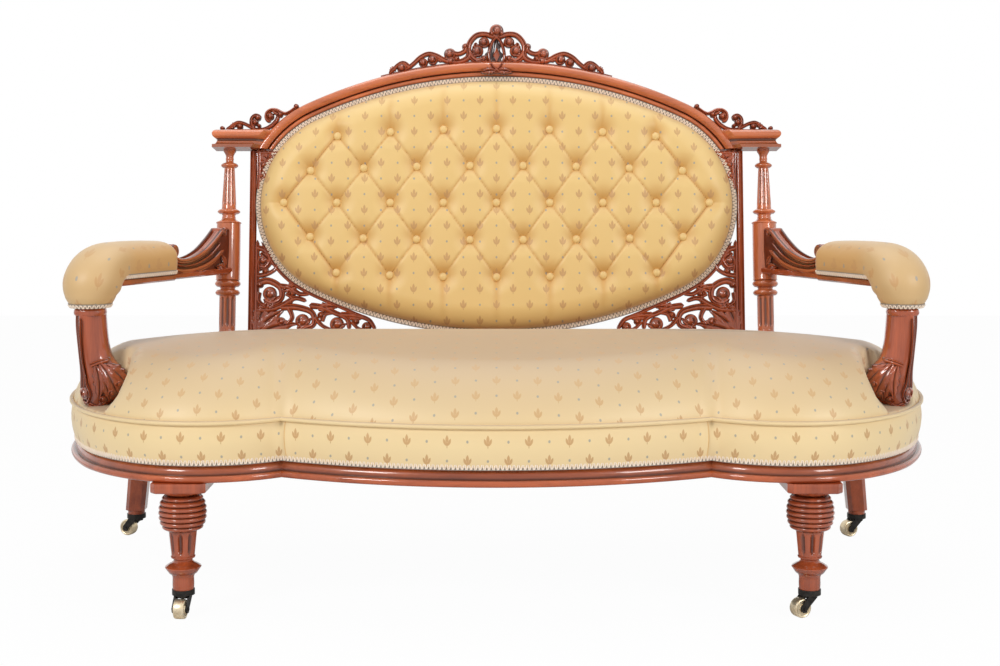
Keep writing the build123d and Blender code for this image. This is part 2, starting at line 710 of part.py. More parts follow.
def oval_polygon(grow):
    """The oval with short straight sides, for the soft pad."""
    corners = [arc @ (side / OVAL_ARC_SIDES) for arc in oval_edges(grow) for side in range(OVAL_ARC_SIDES)]
    return make_face(Polyline(*corners, close=True))


def oval_slab(grow, low, high):
    """The oval between two depths of the back, before it leans."""
    return Pos(0, 0, low) * extrude(make_face(oval_edges(grow)), high - low)


def oval_ring(outer, inner, low, high):
    """Band between two ovals, as much as they are drawn in, between two depths of the back."""
    return oval_slab(-outer, low, high) - oval_slab(-inner, low, high)


def oval_frame():
    """Oval ring that the tufted pad is nailed to."""
    return oval_ring(0, OVAL_RING_WIDTH, -BACK_DEPTH, OVAL_RING_FRONT)


def back_gimp():
    """Braid round the edge of the tufted pad."""
    high = OVAL_RING_FRONT + GIMP_THICKNESS
    return oval_ring(GIMP_THICKNESS, BACK_GIMP_WIDTH, OVAL_RING_FRONT, high)


def back_panel():
    """Cloth-covered board over the outside of the back."""
    return oval_slab(-GIMP_THICKNESS, -BACK_DEPTH - BACK_PANEL, -BACK_DEPTH)


def button_places():
    """Rows of buttons, each a list of places in the plane of the back."""
    rows = []
    for row, count in enumerate(BUTTON_ROWS):
        up = OVAL_CENTRE + ((len(BUTTON_ROWS) - 1) / 2 - row) * BUTTON_ROW_PITCH
        rows.append([((index - (count - 1) / 2) * BUTTON_PITCH, up) for index in range(count)])
    return rows


def back_pad():
    """Domed oval pad, drawn down at each button, with the tufts running into each other as pleats."""
    top = OVAL_RING_FRONT + BACK_PAD_DEPTH
    low = OVAL_RING_FRONT + PAD_CLEARANCE
    sections = []
    for inset, share in ((0, 0), (0, 0.3), (0.3, 0.7), (1, 1)):
        grow = -BACK_GIMP_WIDTH - PAD_CLEARANCE - BACK_PAD_EDGE * inset
        sections.append(Pos(0, 0, low + (top - low) * share) * oval_polygon(grow))
    pad = loft(sections, ruled=True)
    wide = BUTTON_PITCH / 2 * PLEAT_SPREAD
    tall = BUTTON_ROW_PITCH * PLEAT_SPREAD
    left = wide / 2 - BUTTON_RADIUS
    low = tall / 2 - BUTTON_RADIUS
    tuft = Rot(-90, 0, 0) * Wedge(wide, TUFT_DEPTH, tall, left, low, wide - left, tall - low)
    places = [place for row in button_places() for place in row]
    return pad - [Pos(*place, top - TUFT_DEPTH / 2) * tuft for place in places]


def back_buttons():
    """Covered buttons at the bottom of the tufts."""
    low = OVAL_RING_FRONT + BACK_PAD_DEPTH - TUFT_DEPTH
    rim = RegularPolygon(BUTTON_RADIUS - PAD_CLEARANCE, BUTTON_SIDES)
    button = extrude(rim, BUTTON_HEIGHT, taper=BUTTON_SLOPE)
    places = [place for row in button_places() for place in row]
    return Compound(children=[(Pos(*place, low) * button).solid() for place in places])


def arch_profile():
    """Section of the arch: outward from the oval and forward from the back."""
    bead = ARCH_WIDTH / 5
    return make_face(Polyline(
        (0, -BACK_DEPTH),
        (ARCH_WIDTH, -BACK_DEPTH),
        (ARCH_WIDTH, ARCH_FRONT - 2 * bead),
        (ARCH_WIDTH - bead, ARCH_FRONT),
        (ARCH_WIDTH - 2 * bead, ARCH_FRONT),
        (ARCH_WIDTH - 3 * bead, ARCH_FRONT - 2 * bead),
        (ARCH_WIDTH - 4 * bead, ARCH_FRONT / 3),
        (0, OVAL_RING_FRONT),
        close=True,
    ))


def mitre_zone():
    """Half plane above the mitres where the arch meets the shelves."""
    return block((-FAR, SHELF_TOP - ARCH_WIDTH, -FAR), (FAR, FAR, FAR))


def back_arch():
    """Moulded arch over the top of the oval, down to the shelves."""
    top, right, bottom, left = oval_edges(0)
    arch = Part()
    for path in (top, right, left):
        along = path % 0
        frame = Plane(origin=path @ 0, x_dir=Vector(0, 0, 1).cross(along), z_dir=along)
        axis = Axis(path.arc_center, (0, 0, -1))
        turn = math.degrees(path.length / path.radius)
        arch += revolve(frame * arch_profile(), axis=axis, revolution_arc=turn)
    return arch & mitre_zone()


def shelf_profile():
    """Section of a shelf, forward and up: a half-round nose over a cove."""
    nose_low = SHELF_TOP - SHELF_NOSE
    nose_flat = SHELF_FRONT - SHELF_NOSE / 2
    nose_middle = (nose_low + SHELF_TOP) / 2
    cove_back = SHELF_FRONT - SHELF_NOSE
    edges = [
        Line((-BACK_DEPTH, SHELF_BOTTOM), (cove_back, SHELF_BOTTOM)),
        SagittaArc((cove_back, SHELF_BOTTOM), (nose_flat, nose_low), SHELF_COVE),
        ThreePointArc((nose_flat, nose_low), (SHELF_FRONT, nose_middle), (nose_flat, SHELF_TOP)),
        Line((nose_flat, SHELF_TOP), (-BACK_DEPTH, SHELF_TOP)),
        Line((-BACK_DEPTH, SHELF_TOP), (-BACK_DEPTH, SHELF_BOTTOM)),
    ]
    return make_face(edges)


def back_shelf():
    """Left shelf, with its moulding returned round the outer end and cut to the arch inside."""
    face = Plane(origin=(0, 0, 0), x_dir=(0, 0, 1), z_dir=(-1, 0, 0)) * shelf_profile()
    end = -SHELF_END + SHELF_FRONT
    side = Plane(origin=(end, 0, SHELF_FRONT), x_dir=(-1, 0, 0), z_dir=(0, 0, -1)) * shelf_profile()
    returned = extrude(side, SHELF_FRONT + BACK_DEPTH)
    returned += block((end, SHELF_BOTTOM, -BACK_DEPTH), (0, SHELF_TOP, SHELF_FRONT))
    shelf = (extrude(face, SHELF_END) & returned) - oval_slab(ARCH_WIDTH, -FAR, FAR)
    return shelf.solids().sort_by(Axis.X)[0]


def back_stile():
    """Left upright beside the oval."""
    inner = -OVAL_HALF_WIDTH - PAD_CLEARANCE
    return block((inner - STILE_WIDTH, BOTTOM_RAIL_TOP, -BACK_DEPTH), (inner, SHELF_BOTTOM, STILE_FRONT))


def back_bottom_rail():
    """Rail under the oval, from column to column."""
    reach = COLUMN_X - COLUMN_POST / 2
    low = BOTTOM_RAIL_TOP - BOTTOM_RAIL_HEIGHT
    return block((-reach, low, -BACK_DEPTH), (reach, BOTTOM_RAIL_TOP, BOTTOM_RAIL_FRONT))


def column():
    """Left column: a square post in the seat, a fluted foot, a plain drum and a fluted top."""
    ring = COLUMN_RING_HEIGHT
    foot_top = COLUMN_DRUM_BOTTOM - 2.5 * ring
    shaft_low = COLUMN_COLLAR_HEIGHT + ring
    shaft_top = COLUMN_SMALL_RING_HEIGHT - ring / 2
    flare = COLUMN_POST_TOP + ring
    base = turned([(COLUMN_POST_TOP, COLUMN_FOOT_RADIUS), (flare, COLUMN_SHAFT_RADIUS)])
    foot = fluted(COLUMN_FLUTES, COLUMN_FLUTE_DEPTH, COLUMN_LAND, [
        (flare, COLUMN_SHAFT_RADIUS),
        (foot_top, COLUMN_SHAFT_RADIUS),
    ])
    drum = turned([
        (foot_top, COLUMN_RING_RADIUS - ring / 3),
        (foot_top + ring / 2, COLUMN_RING_RADIUS),
        (foot_top + ring, COLUMN_SHAFT_RADIUS),
        (COLUMN_DRUM_BOTTOM - ring, COLUMN_SHAFT_RADIUS),
        (COLUMN_DRUM_BOTTOM - ring / 3, COLUMN_BEAD_RADIUS),
        (COLUMN_DRUM_BOTTOM + ring / 3, COLUMN_BEAD_RADIUS),
        (COLUMN_DRUM_BOTTOM + ring / 2, COLUMN_DRUM_RADIUS),
        (COLUMN_DRUM_TOP, COLUMN_DRUM_RADIUS),
        (COLUMN_DRUM_TOP + ring, COLUMN_NECK_RADIUS),
        (COLUMN_COLLAR_HEIGHT - ring / 3, COLUMN_COLLAR_RADIUS),
        (COLUMN_COLLAR_HEIGHT + ring / 3, COLUMN_COLLAR_RADIUS),
        (shaft_low, COLUMN_NECK_RADIUS),
    ])
    shaft = fluted(COLUMN_FLUTES, COLUMN_FLUTE_DEPTH, COLUMN_LAND, [
        (shaft_low, COLUMN_NECK_RADIUS),
        (shaft_top, COLUMN_TOP_SHAFT_RADIUS),
    ])
    capital = turned([
        (shaft_top, COLUMN_TOP_SHAFT_RADIUS),
        (COLUMN_SMALL_RING_HEIGHT - ring / 3, COLUMN_SMALL_RING_RADIUS),
        (COLUMN_SMALL_RING_HEIGHT + ring / 3, COLUMN_SMALL_RING_RADIUS),
        (COLUMN_SMALL_RING_HEIGHT + ring, COLUMN_CAPITAL_NECK_RADIUS),
        (SHELF_BOTTOM, COLUMN_CAPITAL_RADIUS),
    ])
    half = COLUMN_POST / 2
    post = block((-half, -half, -FRAME_TOP), (half, half, COLUMN_POST_TOP))
    turning = Pos(-COLUMN_X, 0, 0) * Rot(-90, 0, 0) * (post + base + foot + drum + shaft + capital)
    return on_back(turning) & block((-FAR, -FAR, FRAME_TOP), (0, FAR, FAR))


# Arms


def arm_plane():
    """Upright plane of the left arm: forward from the column, up from the floor, then inward."""
    run = Vector(-ARM_FRONT_X + COLUMN_X, ARM_FRONT_Y - ARM_BACK_Y, 0)
    return Plane(origin=(-COLUMN_X, ARM_BACK_Y, 0), x_dir=run, z_dir=run.cross(Vector(0, 0, 1)))


def arm_length():
    """Level distance from the column's axis to the middle of the arm's front."""
    return math.hypot(ARM_FRONT_X - COLUMN_X, ARM_FRONT_Y - ARM_BACK_Y)


def arm_rail():
    """Left arm's wood: a scrolled heel at the column, a hollow sweep and a flat under the pad."""
    flat_top = ARM_BOTTOM + ARM_RAIL_HEIGHT
    heel = 2 * ARM_SCROLL_RADIUS
    front = arm_length() - SUPPORT_DEPTH / 2
    edges = [
        Line((0, ARM_BOTTOM), (front, ARM_BOTTOM)),
        Line((front, ARM_BOTTOM), (front, flat_top)),
        Line((front, flat_top), (ARM_SCROLL_REACH, flat_top)),
        Line((ARM_SCROLL_REACH, flat_top), (ARM_SCROLL_REACH, ARM_SCROLL_HEIGHT)),
        SagittaArc((ARM_SCROLL_REACH, ARM_SCROLL_HEIGHT), (heel, ARM_HEEL_HEIGHT), -ARM_SCROLL_RADIUS * 1.5),
        Line((heel, ARM_HEEL_HEIGHT), (0, ARM_HEEL_HEIGHT)),
        Line((0, ARM_HEEL_HEIGHT), (0, ARM_BOTTOM)),
    ]
    rail = extrude(make_face(edges), ARM_PAD_WIDTH / 2, both=True)
    narrow = ARM_RAIL_WIDTH / 2
    wide = ARM_PAD_WIDTH * ARM_PAD_BASE / 2
    plan = make_face(Polyline(
        (0, -narrow),
        (ARM_SCROLL_REACH, -narrow),
        (ARM_SCROLL_REACH + narrow, -wide),
        (front, -wide),
        (front, wide),
        (ARM_SCROLL_REACH + narrow, wide),
        (ARM_SCROLL_REACH, narrow),
        (0, narrow),
        close=True,
    ))
    rail &= extrude(Plane.XZ * plan, FAR, both=True)
    scroll = Cylinder(ARM_SCROLL_RADIUS, ARM_RAIL_WIDTH + 2 * CARVING_OVERLAP)
    rail += Pos(ARM_SCROLL_REACH - ARM_SCROLL_RADIUS, ARM_SCROLL_HEIGHT) * scroll
    rail += Pos(heel, ARM_HEEL_HEIGHT - ARM_SCROLL_RADIUS / 2) * scroll
    return arm_plane() * rail - column()


def arm_section(reach, width, top):
    """Cross-section of the arm pad at a reach along the arm: flat below and round above."""
    low = ARM_BOTTOM + ARM_RAIL_HEIGHT + PAD_CLEARANCE
    half = width / 2
    right = [(half * wide, low + (top - low) * high) for wide, high in ((ARM_PAD_BASE, 0), *ARM_PAD_OUTLINE)]
    left = [(-across, up) for across, up in reversed(right)]
    frame = Plane(origin=(reach, 0, 0), x_dir=(0, 0, 1), z_dir=(-1, 0, 0))
    return frame * make_face(Polyline(*right, (0, top), *left, close=True))


def bulb_section(share, grow=0):
    """Level section of the arm pad's front bulb, at a share of its height."""
    high = ARM_PAD_TOP - ARM_PAD_FALL
    low = SUPPORT_TOP + PAD_CLEARANCE
    swell = ARM_BULB_END + (1 - ARM_BULB_END) * math.sin(math.pi * share ** ARM_BULB_DROOP)
    frame = Plane(origin=(arm_length(), low + share * (high - low), 0), z_dir=(0, 1, 0))
    return frame * RegularPolygon(ARM_BULB_RADIUS * swell + grow, ARM_BULB_SIDES)


def arm_pad():
    """Left arm pad: round along the top, with a bulb turned down over the support."""
    length = arm_length()
    start = ARM_SCROLL_REACH + PAD_CLEARANCE
    sections = [
        arm_section(start, ARM_PAD_END_WIDTH, ARM_SCROLL_HEIGHT),
        arm_section(start + ARM_SCROLL_RADIUS, ARM_PAD_WIDTH, ARM_PAD_TOP - ARM_PAD_FALL / 2),
        arm_section((start + length) / 2, ARM_PAD_WIDTH, ARM_PAD_TOP),
        arm_section(length, ARM_PAD_WIDTH, ARM_PAD_TOP - ARM_PAD_FALL),
    ]
    bulb = loft([bulb_section(step / ARM_BULB_BANDS) for step in range(ARM_BULB_BANDS + 1)], ruled=True)
    return arm_plane() * (loft(sections, ruled=True) + bulb) - arm_rail()


def arm_gimp():
    """Braid round the lower edge of the left arm pad's bulb."""
    share = ARM_GIMP_HEIGHT / (ARM_PAD_TOP - ARM_PAD_FALL - SUPPORT_TOP - PAD_CLEARANCE)
    band = loft([bulb_section(0, GIMP_THICKNESS), bulb_section(share, GIMP_THICKNESS)], ruled=True)
    band -= loft([bulb_section(0), bulb_section(share)], ruled=True)
    return arm_plane() * band - arm_pad() - arm_rail()


def support_profile():
    """Front view of the left support: a waisted shaft that spreads to a scrolled, carved foot."""
    half = SUPPORT_WIDTH / 2
    top_x = -ARM_FRONT_X
    foot_x = -SUPPORT_FOOT_X
    low = PIPING_HEIGHT
    foot_half = half * 0.7
    neck = (top_x + half + SUPPORT_LEAN, low + SUPPORT_KNEE)
    knee = (foot_x + SUPPORT_KNEE_REACH, low + SUPPORT_KNEE * 0.6)
    edges = [
        Line((top_x - half, SUPPORT_TOP), (top_x + half, SUPPORT_TOP)),
        SagittaArc((top_x + half, SUPPORT_TOP), neck, SUPPORT_BEND),
        ThreePointArc(neck, knee, (foot_x + foot_half, low)),
        Line((foot_x + foot_half, low), (foot_x - foot_half, low)),
        SagittaArc((foot_x - foot_half, low), (top_x - half, SUPPORT_TOP), SUPPORT_BEND),
    ]
    volute = Pos(foot_x - half * 0.6, low + 2 * SUPPORT_VOLUTE_RADIUS) * Circle(SUPPORT_VOLUTE_RADIUS)
    return make_face(edges) + volute


def support_body():
    """Left support with its collar, without the tenon."""
    front = ARM_FRONT_Y - SUPPORT_DEPTH / 2
    plane = Plane(origin=(0, front, 0), x_dir=(1, 0, 0), z_dir=(0, -1, 0))
    body = extrude(plane * support_profile(), -SUPPORT_DEPTH)
    collar_half = SUPPORT_WIDTH / 2 + CARVING_OVERLAP
    collar = block(
        (-ARM_FRONT_X - collar_half, front - CARVING_OVERLAP, SUPPORT_TOP - SUPPORT_COLLAR),
        (-ARM_FRONT_X + collar_half, front + SUPPORT_DEPTH + CARVING_OVERLAP, SUPPORT_TOP),
    )
    return body + chamfer(collar.edges().group_by(Axis.Z)[0], CARVING_OVERLAP)


def support_tenon(radius):
    """Round tenon from the left support's foot down to the side frame."""
    height = PIPING_HEIGHT + 2 * SUPPORT_VOLUTE_RADIUS - FRAME_TOP
    return Pos(-SUPPORT_FOOT_X, ARM_FRONT_Y, FRAME_TOP + height / 2) * Cylinder(radius, height)


def arm_support():
    """Left arm support, which stands on the frame through the seat's stuffing."""
    return support_body() + support_tenon(SUPPORT_TENON_RADIUS)


def support_foot_room(side):
    """Space that a support takes out of the seat's stuffing, with a little clearance."""
    front = ARM_FRONT_Y - SUPPORT_DEPTH / 2 - PAD_CLEARANCE
    plane = Plane(origin=(0, front, 0), x_dir=(1, 0, 0), z_dir=(0, -1, 0))
    profile = offset(support_profile().face().outer_wire(), PAD_CLEARANCE)
    room = extrude(plane * make_face(profile), -SUPPORT_DEPTH - 2 * PAD_CLEARANCE)
    room += support_tenon(SUPPORT_TENON_RADIUS + PAD_CLEARANCE)
    return room if side < 0 else right_of(room)


# Carving


def stroke(points, start_width, end_width):
    """Flat scroll stem along a curve through the points, tapering from one width to the other."""
    spine = Spline(*points)
    left, right = [], []
    for step in range(STROKE_STEPS + 1):
        share = step / STROKE_STEPS
        half = (start_width + (end_width - start_width) * share) / 2
        along = spine % share
        across = Vector(-along.Y, along.X) * half
        left.append(spine @ share + across)
        right.append(spine @ share - across)
    return make_face(Polyline(*left, *reversed(right), close=True))


def eye(x, up, radius):
    """Round boss at the end of a scroll."""
    return Pos(x, up) * RegularPolygon(radius, EYE_SIDES)


def leaf(x, up, length, width, angle):
    """Pointed leaf from a stem point, at an angle above the level."""
    edges = [SagittaArc((0, 0), (length, 0), side * width / 2) for side in (1, -1)]
    return Pos(x, up) * Rot(0, 0, angle) * make_face(edges)


def fused(shapes):
    """All the flat shapes as one outline."""
    outline = shapes[0]
    for shape in shapes[1:]:
        outline += shape
    return outline


def mirrored(shapes):
    """The shapes together with their mirror images across the middle of the back."""
    return shapes + [mirror(shape, about=Plane.YZ) for shape in shapes]


def crest_centre():
    """Pierced crest: crossed stems in a pointed oval between paired scrolls, on top of the arch."""
    top = OVAL_CENTRE + OVAL_HALF_HEIGHT + ARCH_WIDTH
    half = [
        stroke([(-6, -3), (-26, 26), (-4, 62), (8, 78)], 9, 7),
        stroke([(-4, 66), (-30, 70), (-60, 48), (-50, 18), (-28, 24)], 10, 7),
        eye(-33, 31, 10),
        leaf(-46, 40, 26, 12, 20),
        stroke([(-56, 30), (-84, 6), (-112, 26), (-98, 42), (-86, 30)], 11, 7),
        eye(-93, 30, 9),
        stroke([(-108, 14), (-140, -2), (-172, 14), (-160, 28)], 10, 6),
        eye(-160, 22, 8),
        stroke([(-166, 6), (-205, -14), (-CREST_REACH, -31)], 11, 5),
        leaf(-190, -8, 44, 14, 168),
    ]
    boss = [eye(0, 76, 14), leaf(-2, 2, 48, 24, 88)]
    strip = make_face(oval_edges(ARCH_WIDTH + CARVING_STRIP)) - make_face(oval_edges(ARCH_WIDTH))
    strip &= Pos(0, top) * Rectangle(2 * CREST_REACH, 2 * OVAL_HALF_HEIGHT)
    scrolls = Pos(0, top) * fused(mirrored(half) + boss)
    return extrude(strip + scrolls, CARVING_THICKNESS) - oval_slab(ARCH_WIDTH, -FAR, FAR)


def shelf_crest():
    """Left pierced scroll on top of a shelf, running up on to the arch."""
    shapes = [
        stroke([(20, 3), (118, 3), (137, 9), (156, 21), (186, 43)], 7, 6),
        eye(22, 8, 9),
        stroke([(26, 4), (46, 12), (56, 26), (72, 24)], 8, 7),
        eye(74, 18, 9),
        stroke([(80, 12), (98, 4), (118, 8), (126, 26)], 8, 7),
        eye(132, 22, 11),
        leaf(136, 20, 34, 14, 36),
    ]
    board = extrude(Pos(-SHELF_END, SHELF_TOP) * fused(shapes), CARVING_THICKNESS)
    return board - oval_slab(ARCH_WIDTH, -FAR, FAR) - block((-FAR, 0, -FAR), (0, SHELF_TOP, FAR))


def corner_room():
    """Space beside the oval that a fret may fill."""
    side = -OVAL_HALF_WIDTH - PAD_CLEARANCE
    room = block((side, BOTTOM_RAIL_TOP, -FAR), (0, SHELF_BOTTOM, FAR))
    return room - oval_slab(PAD_CLEARANCE, -FAR, FAR)


def fret_lower():
    """Left pierced fret between the oval, the stile and the bottom rail."""
    shapes = [
        stroke([(3, 212), (4, 100), (4, 0)], 7, 11),
        stroke([(0, 4), (100, 4), (300, 2)], 11, 7),
        stroke([(4, 198), (32, 176), (26, 148), (6, 150)], 11, 9),
        eye(15, 164, 10),
        stroke([(3, 134), (48, 126), (58, 90), (32, 84)], 14, 10),
        eye(31, 101, 13),
        leaf(2, 2, 92, 30, 66),
        leaf(2, 2, 104, 34, 42),
        leaf(2, 2, 96, 28, 18),
        stroke([(50, 94), (88, 82), (128, 60), (110, 32)], 13, 10),
        eye(106, 41, 13),
        stroke([(112, 58), (150, 60), (190, 48), (188, 18)], 12, 9),
        eye(180, 28, 12),
        leaf(140, 54, 46, 20, 10),
        stroke([(186, 34), (222, 40), (258, 34), (262, 10)], 10, 8),
        eye(254, 18, 10),
    ]
    outline = Pos(-OVAL_HALF_WIDTH, BOTTOM_RAIL_TOP) * fused(shapes)
    return extrude(outline, FRET_THICKNESS) & corner_room()


def fret_upper():
    """Left small leaf and curl in the spandrel between the shelf, the stile and the oval."""
    shapes = [
        stroke([(4, -88), (6, -50), (4, 0)], 8, 12),
        stroke([(0, -4), (24, -5), (48, -2)], 10, 6),
        leaf(4, -6, 56, 20, -42),
        eye(14, -34, 8),
    ]
    outline = Pos(-OVAL_HALF_WIDTH, SHELF_BOTTOM) * fused(shapes)
    return extrude(outline, FRET_THICKNESS) & corner_room()


# All pieces


def on_back(shape):
    """Piece of the back moved from its drawing plane to its lean."""
    return BACK_PLANE * shape


def all_parts():
    """Every piece by name, with Y still counted from the front."""
    pieces = {}
    for name, shape in zip(("front", "left", "right", "back"), seat_mouldings()):
        pieces[f"seat_moulding_{name}"] = shape
    for name, shape in zip(("front", "left", "right", "back"), seat_frames()):
        pieces[f"seat_frame_{name}"] = shape
    pieces["seat_corner_blocks"] = corner_blocks()
    pieces["seat_webbing"] = seat_webbing()
    pieces["seat_springs"] = seat_springs()
    pieces["seat_bottom_cloth"] = seat_bottom_cloth()
    pieces["seat_pad"] = seat_pad()
    pieces["seat_piping"] = seat_piping()
    pieces["seat_gimp"] = seat_gimp()
    for name, shape in {
        "front_leg": front_leg(),
        "back_leg": back_leg(),
        "column": column(),
        "back_shelf": on_back(back_shelf()),
        "back_stile": on_back(back_stile()),
        "crest": on_back(shelf_crest()),
        "fret_lower": on_back(fret_lower()),
        "fret_upper": on_back(fret_upper()),
        "arm_rail": arm_rail(),
        "arm_pad": arm_pad(),
        "arm_support": arm_support(),
    }.items():
        pieces[f"{name}_left"] = shape
        pieces[f"{name}_right"] = right_of(shape)
    pieces["arm_gimps"] = Compound(children=[band.solid() for band in (arm_gimp(), right_of(arm_gimp()))])
    pieces["back_arch"] = on_back(back_arch())
    pieces["crest_centre"] = on_back(crest_centre())
    pieces["back_bottom_rail"] = on_back(back_bottom_rail())
    pieces["oval_frame"] = on_back(oval_frame())
    pieces["back_gimp"] = on_back(back_gimp())
    pieces["back_panel"] = on_back(back_panel())
    pieces["back_pad"] = on_back(back_pad())
    pieces["back_buttons"] = on_back(back_buttons())
    cups = []
    for name, place in castor_places().items():
        spot = Pos(place.X, place.Y, 0) * Rot(0, 0, CASTOR_HEADINGS[name])
        cups.append((spot * castor_cup()).solid())
        pieces[f"castor_{name}_horn"] = spot * castor_horn()
        pieces[f"castor_{name}_wheel"] = spot * castor_wheel()
    pieces["castor_cups"] = Compound(children=cups)
    return pieces


def middle_depth(pieces):
    """Y halfway between the foremost and the rearmost point of all the pieces."""
    boxes = [shape.bounding_box() for shape in pieces.values()]
    return (min(box.min.Y for box in boxes) + max(box.max.Y for box in boxes)) / 2


if __name__ == "__main__":
    os.makedirs("parts", exist_ok=True)
    pieces = all_parts()
    centre = Pos(0, -middle_depth(pieces), 0)
    for name, shape in pieces.items():
        export_step(centre * shape, f"parts/{name}.step")
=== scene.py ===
# %% [markdown]
# # A carved walnut settee
#
# The real settee is a parlour seat: a show-wood frame in polished walnut, a sprung seat with a bowed
# front, an oval back buttoned in diamonds, stuffed arms and four castors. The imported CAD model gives
# the frame, the places and the joints. This script dresses it: every soft or carved piece is made
# again with a finer surface, and each new piece rides on the body it belongs to.

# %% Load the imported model
import json
import math

import bmesh
import bpy
import numpy as np
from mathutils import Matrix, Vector


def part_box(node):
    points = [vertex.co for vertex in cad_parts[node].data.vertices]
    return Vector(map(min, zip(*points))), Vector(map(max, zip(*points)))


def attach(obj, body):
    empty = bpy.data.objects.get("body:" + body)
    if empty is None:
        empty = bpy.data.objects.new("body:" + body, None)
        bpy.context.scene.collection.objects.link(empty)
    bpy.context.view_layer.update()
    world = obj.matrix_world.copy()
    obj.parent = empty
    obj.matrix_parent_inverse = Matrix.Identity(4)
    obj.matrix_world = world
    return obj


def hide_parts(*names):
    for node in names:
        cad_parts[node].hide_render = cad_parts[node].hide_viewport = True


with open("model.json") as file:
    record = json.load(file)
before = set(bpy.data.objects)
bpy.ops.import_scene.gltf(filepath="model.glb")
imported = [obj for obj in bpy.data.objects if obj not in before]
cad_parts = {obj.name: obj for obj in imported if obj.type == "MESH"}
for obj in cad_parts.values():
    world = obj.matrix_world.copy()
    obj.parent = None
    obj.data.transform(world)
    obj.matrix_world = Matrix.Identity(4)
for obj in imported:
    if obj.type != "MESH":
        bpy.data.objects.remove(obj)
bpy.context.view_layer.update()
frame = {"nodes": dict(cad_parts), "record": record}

# %% [markdown]
# ## Camera and light
#
# The settee stands in front of a white ground and is seen from straight ahead, a little above the
# seat. A long lens keeps the two ends square. Soft lamps from both sides and from above give the
# polished wood long highlights, and the floor keeps a pale shadow.

# %% Camera
scene = bpy.context.scene
scene.view_settings.view_transform = "Standard"

lens = bpy.data.cameras.new("camera")
lens.lens = 55.8
lens.sensor_width = 36
lens.shift_x = 0.0035
lens.shift_y = -0.0772
camera = bpy.data.objects.new("camera", lens)
camera.location = (0, -3.132, 0.80)
camera.rotation_euler = (math.radians(90 - 2.8), 0, 0)
scene.collection.objects.link(camera)
scene.camera = camera
print("camera at", tuple(round(value, 3) for value in camera.location))


# %% Lamps, ground and white surround
def lamp(name, place, target, size, power):
    """Soft area lamp at a place, aimed at a target."""
    light = bpy.data.lights.new(name, "AREA")
    light.size = size
    light.energy = power
    stand = bpy.data.objects.new(name, light)
    stand.location = place
    aim = Vector(target) - Vector(place)
    stand.rotation_euler = aim.to_track_quat("-Z", "Y").to_euler()
    scene.collection.objects.link(stand)
    return stand


lamp("key_lamp", (-2.2, -2.6, 2.4), (0, 0, 0.6), 0.9, 54)
lamp("fill_lamp", (2.4, -2.4, 1.9), (0, 0, 0.6), 0.9, 38)
lamp("top_lamp", (0, 0.3, 3.0), (0, 0, 0.5), 2.2, 26)


def tree_of(owner):
    """Empty node tree of a material or world."""
    owner.use_nodes = True
    owner.node_tree.nodes.clear()
    return owner.node_tree


def fill(tree, made, inputs):
    """Puts values or links on the inputs of a node."""
    for key, value in inputs.items():
        if isinstance(value, bpy.types.NodeSocket):
            tree.links.new(value, made.inputs[key])
        else:
            made.inputs[key].default_value = value
    return made


def node(tree, kind, inputs=None, **settings):
    """New shader node with its settings, and with values or links on its inputs."""
    made = tree.nodes.new(kind)
    for key, value in settings.items():
        setattr(made, key, value)
    return fill(tree, made, inputs or {})


def calc(tree, operation, *values, clamp=False):
    """Math node's output."""
    made = node(tree, "ShaderNodeMath", dict(enumerate(values)), operation=operation, use_clamp=clamp)
    return made.outputs[0]


def seen_straight(tree):
    """1 where the camera, a reflection or a clear material looks straight at it, and 0 elsewhere."""
    path = node(tree, "ShaderNodeLightPath").outputs
    seen = calc(tree, "MAXIMUM", path["Is Camera Ray"], path["Is Glossy Ray"])
    return calc(tree, "MAXIMUM", seen, path["Is Transmission Ray"])


WHITE = (1, 1, 1, 1)
SURROUND_LIGHT, FLOOR_GLOW, FLOOR_HALF = 0.36, 0.97, 6
world = bpy.data.worlds.new("white_surround")
scene.world = world
tree = tree_of(world)
soft = node(tree, "ShaderNodeBackground", {"Color": WHITE, "Strength": SURROUND_LIGHT})
white = node(tree, "ShaderNodeBackground", {"Color": WHITE, "Strength": 1.0})
mixed = node(tree, "ShaderNodeMixShader", {0: seen_straight(tree), 1: soft.outputs[0], 2: white.outputs[0]})
node(tree, "ShaderNodeOutputWorld", {"Surface": mixed.outputs[0]})

CORNERS = ((1, -1), (1, 1), (-1, 1), (-1, -1))
floor_mesh = bpy.data.meshes.new("floor")
floor_mesh.from_pydata([(x * FLOOR_HALF, y * FLOOR_HALF, 0) for x, y in CORNERS], [], [(0, 1, 2, 3)])
floor = bpy.data.objects.new("floor", floor_mesh)
scene.collection.objects.link(floor)
paper = bpy.data.materials.new("white_paper")
tree = tree_of(paper)
matt = node(tree, "ShaderNodeBsdfPrincipled", {"Base Color": (0.9, 0.9, 0.9, 1), "Roughness": 0.9})
glow = node(tree, "ShaderNodeEmission", {"Color": WHITE, "Strength": 1.0})
lift = calc(tree, "MULTIPLY", node(tree, "ShaderNodeLightPath").outputs["Is Camera Ray"], FLOOR_GLOW)
mixed = node(tree, "ShaderNodeMixShader", {0: lift, 1: matt.outputs[0], 2: glow.outputs[0]})
node(tree, "ShaderNodeOutputMaterial", {"Surface": mixed.outputs[0]})
floor_mesh.materials.append(paper)
print("lamps:", len(bpy.data.lights))

# %% [markdown]
# ## Drawing in millimetres
#
# A joiner works from one set of setting-out lines: the front of the seat, the middle of the settee
# and the lean of the back. The pieces below are drawn in millimetres from the same lines, with Y
# counted back from the front of the seat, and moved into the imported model's frame when they are made.

